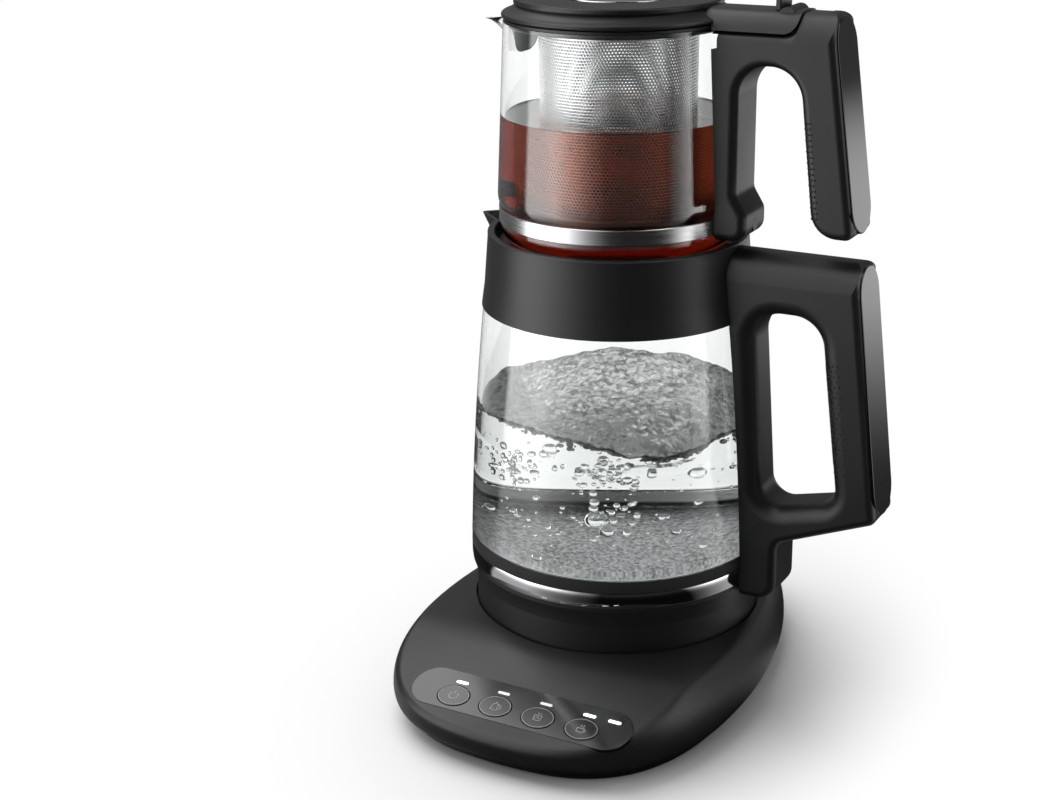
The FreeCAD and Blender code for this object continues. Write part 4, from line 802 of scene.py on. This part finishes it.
class TEA_OT_tea(bpy.types.Operator):
    """Fills the teapot with brewed tea."""
    bl_idname = "teamaker.tea"
    bl_label = "Tea"

    def execute(self, context):
        sizes = context.scene.teapot_sizes
        level = sizes.tea_level
        overlap, meniscus = 0.2 * MM, 0.8 * MM
        wall = [point for point in pot_wall(-sizes.glass_wall + overlap) if point[1] < level - MM]
        edge = wall[-1][0]
        profile = wall + [(edge, level + 0.6 * MM), (edge - meniscus, level + 0.1 * MM)]
        rings = 24
        profile += [((edge - meniscus) * (1 - i / rings), level) for i in range(1, rings + 1)]
        mesh = lathe(profile, 256, closed=False)
        material = liquid("tea", (1.0, 1.0, 1.0), WATER_REFRACTION, context.scene.finish_colours.tea)
        finish_piece(mesh, "brewed_tea", material, "teapot", smooth_angle=60.0)
        return {"FINISHED"}


class TEA_OT_basket(bpy.types.Operator):
    """Makes the infuser's perforated steel basket."""
    bl_idname = "teamaker.basket"
    bl_label = "Infuser Basket"

    def execute(self, context):
        sizes = context.scene.teapot_sizes
        top_radius = basket_high.x
        base_radius = 37.8 * MM
        columns = int(round(2 * math.pi * top_radius / sizes.basket_pitch))
        pitch = 2 * math.pi * top_radius / columns
        row = pitch * math.cos(math.radians(30))
        low = basket_low.z + 3.0 * MM
        high = basket_high.z - 4.4 * MM
        rows = int((high - low) / row)
        mesh = bmesh.new()
        start = [mesh.verts.new((top_radius, 0, high - row * index)) for index in range(rows + 1)]
        edges = [mesh.edges.new(pair) for pair in zip(start, start[1:])]
        bmesh.ops.spin(mesh, geom=start + edges, axis=(0, 0, 1), cent=(0, 0, 0), steps=columns,
                       angle=2 * math.pi, use_merge=True)
        bmesh.ops.remove_doubles(mesh, verts=mesh.verts, dist=1e-6)
        cells = list(mesh.faces)
        bmesh.ops.inset_individual(mesh, faces=cells, thickness=pitch * sizes.hole_share)
        bmesh.ops.delete(mesh, geom=cells, context="FACES")
        rim_top = [e for e in mesh.edges if e.is_boundary and min(v.co.z for v in e.verts) > high - 1e-6]
        up = bmesh.ops.extrude_edge_only(mesh, edges=rim_top)
        for vert in verts_of(up):
            vert.co.z = basket_high.z
        lowest = min(v.co.z for v in mesh.verts)
        rim_low = [e for e in mesh.edges if e.is_boundary and max(v.co.z for v in e.verts) < lowest + 1e-6]
        down = bmesh.ops.extrude_edge_only(mesh, edges=rim_low)
        low_ring = [g for g in down["geom"] if isinstance(g, bmesh.types.BMEdge)]
        for vert in {v for e in low_ring for v in e.verts}:
            vert.co.z = basket_low.z
        bmesh.ops.contextual_create(mesh, geom=low_ring)
        span = basket_high.z - basket_low.z
        for vert in mesh.verts:
            reach = math.hypot(vert.co.x, vert.co.y)
            if reach < 1e-6:
                continue
            share = (vert.co.z - basket_low.z) / span
            new_reach = base_radius + (top_radius - base_radius) * share
            half_step = 0.5 * (high - vert.co.z) / row * (2 * math.pi / columns)
            angle = math.atan2(vert.co.y, vert.co.x) + half_step
            vert.co.x = new_reach * math.cos(angle)
            vert.co.y = new_reach * math.sin(angle)
        bmesh.ops.recalc_face_normals(mesh, faces=mesh.faces)
        steel = polished_metal("basket_steel", context.scene.finish_colours.steel, 0.24)
        piece = finish_piece(mesh, "perforated_basket", steel, "teapot", keep_normals=True)
        wall = piece.modifiers.new("wall", "SOLIDIFY")
        wall.thickness = sizes.basket_wall
        wall.offset = -1.0
        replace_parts(piece, "infuser_basket")
        return {"FINISHED"}


# ---------------------------------------------------------------- details
# The control panel's own plane on the base's slope, and the places of its buttons and indicators in it.
PANEL_SLOPE = Matrix.Rotation(math.radians(17.5), 4, "X")
PANEL_PLACE = Matrix.Translation((5.0 * MM, -116.4 * MM, 26.26 * MM)) @ PANEL_SLOPE
BUTTON_X = [(-35.4 + 23.4 * index) * MM for index in range(4)]
BUTTON_Y = -3.4 * MM
BUTTON_TOP = 0.5 * MM
LIGHT_X = BUTTON_X + [BUTTON_X[-1] + 13.2 * MM]
LIGHT_Y = 5.9 * MM
PANEL_TOP = 0.2 * MM


def stroke(mesh, points, width, rise, matrix, closed=False):
    """A raised printed line through points of the plane."""
    count = len(points)
    rails = []
    for index, point in enumerate(points):
        here = Vector(point)
        before = Vector(points[index - 1]) if index or closed else here
        after = Vector(points[(index + 1) % count]) if index < count - 1 or closed else here
        along = (after - before).normalized()
        side = Vector((-along.y, along.x)) * (width / 2)
        rails.append((here + side, here - side))
    verts = [[mesh.verts.new(matrix @ Vector((p.x, p.y, rise))) for p in pair] for pair in rails]
    pairs = list(zip(verts, verts[1:])) + ([(verts[-1], verts[0])] if closed else [])
    faces = [mesh.faces.new((a[0], a[1], b[1], b[0])) for a, b in pairs]
    drop = matrix.to_3x3() @ Vector((0, 0, -rise))
    low = bmesh.ops.extrude_face_region(mesh, geom=faces, use_keep_orig=True)
    for vert in verts_of(low):
        vert.co += drop


# The lines of the symbols, in mm from the middle of the button.
SYMBOLS = {
    "power_button": (
        ring_points(2.3, 125, 415, 24), ((0, 0.4), (0, 3.1)),
    ),
    "boil_button": (
        ((-1.8, -2.4), (1.8, -2.4), (1.2, 1.6), (-1.2, 1.6), (-1.8, -2.4)),
        ((1.5, 1.0), (3.0, 0.8), (3.1, -1.2), (1.9, -1.6)), ((-0.5, 2.4), (0.5, 2.4)),
    ),
    "brew_button": (
        ((-2.0, 1.2), (-1.6, -2.0), (1.6, -2.0), (2.0, 1.2), (-2.0, 1.2)),
        ((-0.8, -1.0), (0.0, 0.6), (0.8, -1.0)), ((-0.6, 1.9), (-0.3, 2.4), (-0.6, 3.0)),
        ((0.6, 1.9), (0.9, 2.4), (0.6, 3.0)),
    ),
    "warm_button": (
        ((-2.2, 0.4), (-1.8, -2.2), (1.2, -2.2), (1.6, 0.4), (-2.2, 0.4)),
        ((1.5, -0.2), (2.6, -0.4), (2.4, -1.4), (1.4, -1.6)), ((-0.9, 1.1), (-0.5, 1.8), (-0.9, 2.6)),
        ((0.4, 1.1), (0.8, 1.8), (0.4, 2.6)),
    ),
}


class TEA_OT_symbols(bpy.types.Operator):
    """Prints plain symbols on the buttons."""
    bl_idname = "teamaker.symbols"
    bl_label = "Button Symbols"

    def execute(self, context):
        sizes = context.scene.detail_sizes
        ink = printed("symbol_ink", context.scene.finish_colours.print_colour)
        oval = [(x * 8.0 * MM, y * 6.1 * MM) for x, y in ring_points(1.0, 0, 360, 64)[:-1]]
        for middle, (node, lines) in zip(BUTTON_X, SYMBOLS.items()):
            place = PANEL_PLACE @ Matrix.Translation((middle, BUTTON_Y, BUTTON_TOP))
            mesh = bmesh.new()
            for line in lines:
                points = [(x * MM, y * MM) for x, y in line]
                stroke(mesh, points, sizes.symbol_line, sizes.symbol_rise, place)
            stroke(mesh, oval, 0.8 * sizes.symbol_line, sizes.symbol_rise, place, closed=True)
            finish_piece(mesh, node + "_symbol", ink, node, smooth_angle=20.0)
        return {"FINISHED"}


class TEA_OT_lights(bpy.types.Operator):
    """Makes the five indicators: three lit, two dim."""
    bl_idname = "teamaker.lights"
    bl_label = "Indicators"

    def execute(self, context):
        colours = context.scene.finish_colours
        lit = glowing("indicator_lit", colours.lamp, 2.4)
        dim = glowing("indicator_dim", colours.lamp, 0.05)
        half_length, half_width, depth, rise = 3.3 * MM, 0.85 * MM, 5.5 * MM, 0.03 * MM
        straight = half_length - half_width
        outline = ring_points(half_width, -90, 90, 12, (straight, 0.0))
        outline += ring_points(half_width, 90, 270, 12, (-straight, 0.0))
        for group, material, wanted in (("lit", lit, (0, 3, 4)), ("dim", dim, (1, 2))):
            mesh = bmesh.new()
            for index in wanted:
                place = PANEL_PLACE @ Matrix.Translation((LIGHT_X[index], LIGHT_Y, PANEL_TOP))
                foot = [mesh.verts.new(place @ Vector((x, y, -depth))) for x, y in outline]
                face = mesh.faces.new(foot)
                up = bmesh.ops.extrude_face_region(mesh, geom=[face], use_keep_orig=True)
                lift = place.to_3x3() @ Vector((0, 0, depth + rise))
                bmesh.ops.translate(mesh, vec=lift, verts=verts_of(up))
            piece = finish_piece(mesh, "indicators_" + group, material, "base",
                                 smooth_angle=30.0)
            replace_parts(piece, "indicator_lights")
        return {"FINISHED"}


class TEA_OT_grip_dots(bpy.types.Operator):
    """Studs the soft grip pads of both handles with small dots."""
    bl_idname = "teamaker.grip_dots"
    bl_label = "Grip Dots"

    def execute(self, context):
        sizes = context.scene.detail_sizes
        # Painted highlight: the dots' rubber is lightened 2.2 times so that they show as light specks.
        rubber = soft_rubber("dot_rubber_painted_sheen", [c * 2.2 for c in context.scene.finish_colours.rubber])
        pads = (("kettle_grip_pad", "kettle", 8.0 * MM), ("teapot_grip_pad", "teapot", 4.0 * MM))
        for node, body, rounding in pads:
            mesh = bmesh.new()
            corners = [v.co for v in frame["nodes"][node].data.vertices]
            low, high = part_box(node)
            lowest = min(corners, key=lambda p: p.z + p.x * 0.15)
            highest = max(corners, key=lambda p: p.z - p.x * 0.15)
            start = Vector((lowest.x, 0, lowest.z))
            along = Vector((highest.x, 0, highest.z)) - start
            run = along.length
            along.normalize()
            out = Vector((-along.z, 0, along.x))
            margin, row_step = 3.0 * MM, sizes.dot_pitch * 0.866
            rows = int((run - 2 * margin) / row_step)
            half = (high.y - low.y) / 2 - 2.0 * MM
            for row in range(rows + 1):
                middle = start + along * (margin + row * row_step)
                self.flat_row(mesh, middle, out, half, 0.5 * (row % 2), sizes)
                self.round_row(mesh, middle, out, rounding, 9 * (row % 2), sizes)
            finish_piece(mesh, node + "_dots", rubber, body, smooth_angle=180.0)
        return {"FINISHED"}

    def flat_row(self, mesh, middle, out, half, shift, sizes):
        """A row of dots across the flat of the pad."""
        count = int(half / sizes.dot_pitch)
        for column in range(-count, count + 1):
            y = (column + shift) * sizes.dot_pitch
            if abs(y) <= half:
                self.dot(mesh, middle + Vector((0, y, 0)), out, sizes.dot_radius)

    def round_row(self, mesh, middle, out, rounding, shift, sizes):
        """Dots on the rounded edges at both sides of the grip."""
        half_handle, proud = 14.5 * MM, 0.4 * MM
        for side in (-1, 1):
            for degrees in (28, 46, 64, 82):
                angle = math.radians(degrees + shift)
                normal = out * math.cos(angle) + Vector((0, side * math.sin(angle), 0))
                centre = middle - out * (rounding + proud)
                centre.y = side * (half_handle - rounding)
                self.dot(mesh, centre + normal * rounding, normal, 0.75 * sizes.dot_radius)

    def dot(self, mesh, centre, normal, radius):
        turn = normal.to_track_quat("Z", "Y").to_matrix().to_4x4()
        dome = Matrix.Diagonal((1.0, 1.0, 0.6, 1.0))
        bmesh.ops.create_icosphere(mesh, subdivisions=1, radius=radius,
                                   matrix=Matrix.Translation(centre) @ turn @ dome)


class TEA_OT_finishes(bpy.types.Operator):
    """Gives every part of the frame that stays visible its own finish."""
    bl_idname = "teamaker.finishes"
    bl_label = "Part Finishes"

    def execute(self, context):
        colours = context.scene.finish_colours
        finishes = {
            "black_plastic": satin_plastic("satin_plastic", colours.plastic),
            "gloss_black": gloss_plastic("gloss_black", colours.gloss),
            "light_pipe": glowing("light_pipe", colours.lamp, 0.2),
            "clear_glass": clear_glass("plain_glass", colours.glass),
            "steel": turned_steel("steel", colours.steel),
            "screw_steel": cast_metal("screw_steel", colours.steel, 0.35),
            "chrome": polished_metal("chrome", colours.chrome),
            "rubber": soft_rubber("rubber", colours.rubber),
            "silicone": soft_rubber("silicone", colours.rubber),
            "aluminium": cast_metal("aluminium", (0.68, 0.68, 0.69)),
            "brass": cast_metal("brass", colours.brass, 0.3),
            "board": circuit_board("circuit_board", colours.board),
            "component": satin_plastic("component_plastic", (0.03, 0.03, 0.032)),
        }
        dark_screw = cast_metal("dark_screw", (0.03, 0.03, 0.03), 0.4)
        special = {
            "kettle_handle_screws": dark_screw,
            "teapot_handle_screw": dark_screw,
            "kettle_bottom_plate": plate_steel("boiling_plate", (0.58, 0.58, 0.59)),
            "lid_cap": polished_metal("lid_inset", (0.55, 0.55, 0.56), 0.12),
        }
        slots = {part["node"]: part["material_slot"] for part in frame["record"]["subparts"]}
        for name, node in frame["nodes"].items():
            material = special.get(name) or finishes[slots[name]]
            node.data.materials.clear()
            node.data.materials.append(material)
        return {"FINISHED"}


# ---------------------------------------------------------------- studio
# Brightness of the mirrored studio by azimuth in degrees, from the camera's side, to its right positive.
AZIMUTH_STOPS = (
    (-180, 0.06), (-135, 0.03), (-98, 0.01), (-95, 0.90), (-62, 1.00), (-50, 0.55), (-38, 0.26), (-26, 0.08),
    (-12, 0.00), (48, 0.00), (58, 0.20), (78, 0.85), (90, 0.95), (94, 0.12), (120, 0.03), (180, 0.06),
)
SWEEP_AZIMUTH = math.radians(133)   # middle of the bright patch of floor that the handles' strips mirror

# The camera's place from the front, and its turns: to the right, downwards and about its own line of sight.
CAMERA_PLACE = (0.0, -0.86277, 0.4581)
CAMERA_YAW, CAMERA_TILT, CAMERA_ROLL = math.radians(-3.181), math.radians(19.906), math.radians(-0.922)


def world_light(settings):
    """Even soft light, a pale backdrop, and softboxes that only mirrors see."""
    world = bpy.data.worlds.new("studio")
    bpy.context.scene.world = world
    world.use_nodes = True
    world.node_tree.nodes.clear()
    make = NodeMaker(world.node_tree)
    direction = make.node("ShaderNodeTexCoord").outputs["Generated"]
    path = make.node("ShaderNodeLightPath")
    sideways = make.dot(direction, from_front(1, 0, 0))
    away = make.dot(direction, from_front(0, 1, 0))
    height = make.dot(direction, (0.0, 0.0, 1.0))
    softboxes = make.math("MULTIPLY", make.mirrored_studio(direction), settings.cards)
    behind = make.smooth(away, 0.0, 0.4, 0.0, 1.0)
    left_edge = make.smooth(sideways, -0.2575, -0.2535, 1.0, 0.0)
    slant = make.math("MULTIPLY_ADD", sideways, -0.6, height)
    slant_edge = make.smooth(slant, 0.983, 0.987, 0.0, 1.0)
    outline = make.math("MAXIMUM", left_edge, slant_edge)
    card = make.math("MULTIPLY", make.smooth(height, 0.60, 0.74, 0.0, settings.top_card), outline)
    glow = make.smooth(height, 0.12, 0.45, 0.0, 0.12)
    top = make.math("MULTIPLY", behind, make.math("ADD", card, glow))
    mirrored = make.math("ADD", make.math("ADD", softboxes, top), settings.room)
    through = make.math("ADD", make.smooth(away, 0.30, 0.72, 0.16, settings.backdrop), softboxes)
    level = make.seen_through(path, settings.backdrop, mirrored, through, settings.soft_light)
    background = make.node("ShaderNodeBackground", {"Strength": level}).outputs[0]
    make.node("ShaderNodeOutputWorld", (background,))


def floor_material(settings):
    """A pale floor: it keeps the shadow near the object, and mirrors see the softboxes on it."""
    material = bpy.data.materials.new("pale_floor")
    material.use_nodes = True
    material.node_tree.nodes.clear()
    make = NodeMaker(material.node_tree)
    place = make.node("ShaderNodeTexCoord").outputs["Object"]
    path = make.node("ShaderNodeLightPath")
    cloud = make.node("ShaderNodeTexNoise", (place,)).outputs[0]
    shade = make.blend(cloud, (0.88, 0.88, 0.88), (0.90, 0.90, 0.90))
    diffuse = make.node("ShaderNodeBsdfDiffuse", (shade,)).outputs[0]
    distance = make.length(place)
    squeezed = make.node("ShaderNodeVectorMath", (place, (1.3, 0.95, 1.0)), operation="MULTIPLY").outputs[0]
    shadow_distance = make.length(squeezed)
    far = make.smooth(shadow_distance, 0.5 * settings.shadow_reach, settings.shadow_reach, 0.0, 1.0)
    white = make.node("ShaderNodeEmission", (None, settings.backdrop)).outputs[0]
    camera_view = make.node("ShaderNodeMixShader", (far, diffuse, white)).outputs[0]
    softboxes = make.math("MULTIPLY", make.mirrored_studio(place), settings.cards)
    near_dim = make.smooth(distance, 0.22, 0.75, 0.14, 1.0)
    softboxes = make.math("MULTIPLY", softboxes, near_dim)
    room = make.math("MULTIPLY", near_dim, settings.room)
    direction = make.node("ShaderNodeVectorMath", (place,), operation="NORMALIZE").outputs["Vector"]
    rising = make.smooth(distance, 0.45, 1.2, 0.0, 1.6)
    sweep = make.math("MULTIPLY", rising, make.smooth(distance, 2.0, 4.2, 1.0, 0.0))
    toward = from_front(math.sin(SWEEP_AZIMUTH), -math.cos(SWEEP_AZIMUTH), 0)
    beside = make.smooth(make.dot(direction, toward), 0.90, 0.97, 0.0, 1.0)
    sweep = make.math("MULTIPLY", sweep, beside)
    seen = make.math("ADD", make.math("ADD", softboxes, sweep), room)
    mirrored = make.node("ShaderNodeEmission", (None, seen)).outputs[0]
    away = make.dot(direction, from_front(0, 1, 0))
    through_level = make.math("ADD", make.smooth(away, 0.30, 0.72, 0.2, settings.backdrop), softboxes)
    through = make.node("ShaderNodeEmission", (None, through_level)).outputs[0]
    shader = diffuse
    for kind, view in (("Is Glossy Ray", mirrored), ("Is Transmission Ray", through),
                       ("Is Camera Ray", camera_view)):
        shader = make.node("ShaderNodeMixShader", (path.outputs[kind], shader, view)).outputs[0]
    make.node("ShaderNodeOutputMaterial", (shader,))
    return material


def area_light(name, place, target, size, power):
    data = bpy.data.lights.new(name, "AREA")
    data.shape = "RECTANGLE"
    data.size, data.size_y = size
    data.energy = power
    light = add_object(name, data)
    light.location = place
    light.rotation_euler = (Vector(target) - Vector(place)).to_track_quat("-Z", "Y").to_euler()
    light.visible_camera = False
    light.visible_transmission = False
    light.visible_glossy = False


class TEA_OT_stage(bpy.types.Operator):
    """Sets up the camera, the pale floor and the soft studio light."""
    bl_idname = "teamaker.stage"
    bl_label = "Stage"

    def execute(self, context):
        settings = context.scene.studio_settings
        scene = context.scene
        scene.view_settings.view_transform = "Standard"
        world_light(settings)
        mesh = bmesh.new()
        bmesh.ops.create_grid(mesh, x_segments=1, y_segments=1, size=12.0)
        floor = add_mesh(mesh, "floor", floor_material(settings))

        area_light("overhead", from_front(-0.55, 0.45, 1.35), (0, 0, 0.1), (1.5, 1.5), settings.key)

        camera_data = bpy.data.cameras.new("view")
        camera_data.sensor_fit = "HORIZONTAL"
        camera_data.sensor_width = 36.0
        camera_data.lens = settings.focal_length
        camera_data.clip_end = 50.0
        camera = add_object("view", camera_data)
        level_part = math.cos(CAMERA_TILT)
        ahead = from_front(math.sin(CAMERA_YAW) * level_part, math.cos(CAMERA_YAW) * level_part,
                           -math.sin(CAMERA_TILT))
        right = ahead.cross(Vector((0, 0, 1))).normalized()
        up = right.cross(ahead)
        right_rolled = right * math.cos(CAMERA_ROLL) + up * math.sin(CAMERA_ROLL)
        up_rolled = up * math.cos(CAMERA_ROLL) - right * math.sin(CAMERA_ROLL)
        turn = Matrix((right_rolled, up_rolled, -ahead)).transposed().to_4x4()
        camera.matrix_world = Matrix.Translation(from_front(*CAMERA_PLACE)) @ turn
        scene.camera = camera
        return {"FINISHED"}


# ---------------------------------------------------------------- add-on
STEPS = (
    TEA_OT_stage, TEA_OT_finishes, TEA_OT_kettle_glass, TEA_OT_water, TEA_OT_bubbles, TEA_OT_bright_rings,
    TEA_OT_teapot_glass, TEA_OT_tea, TEA_OT_basket, TEA_OT_symbols, TEA_OT_lights, TEA_OT_grip_dots,
)
GROUPS = {
    "kettle_sizes": KettleSizes, "teapot_sizes": TeapotSizes, "detail_sizes": DetailSizes,
    "finish_colours": FinishColours, "studio_settings": StudioSettings,
}


class TEA_PT_panel(bpy.types.Panel):
    """Lists the tea maker's pieces and their settings."""
    bl_idname = "TEA_PT_panel"
    bl_label = "Tea Maker"
    bl_space_type = "VIEW_3D"
    bl_region_type = "UI"
    bl_category = "Tea Maker"

    def draw(self, context):
        for name, group in GROUPS.items():
            box = self.layout.box()
            for key in group.__annotations__:
                box.prop(getattr(context.scene, name), key)
        for step in STEPS:
            self.layout.operator(step.bl_idname)


def register():
    for group in GROUPS.values():
        bpy.utils.register_class(group)
    for name, group in GROUPS.items():
        setattr(bpy.types.Scene, name, PointerProperty(type=group))
    for step in STEPS + (TEA_PT_panel,):
        bpy.utils.register_class(step)


def unregister():
    for step in reversed(STEPS + (TEA_PT_panel,)):
        bpy.utils.unregister_class(step)
    for name in GROUPS:
        delattr(bpy.types.Scene, name)
    for group in reversed(list(GROUPS.values())):
        bpy.utils.unregister_class(group)


def main():
    register()
    for step in STEPS:
        group, name = step.bl_idname.split(".")
        getattr(getattr(bpy.ops, group), name)()


if __name__ == "__main__":
    main()
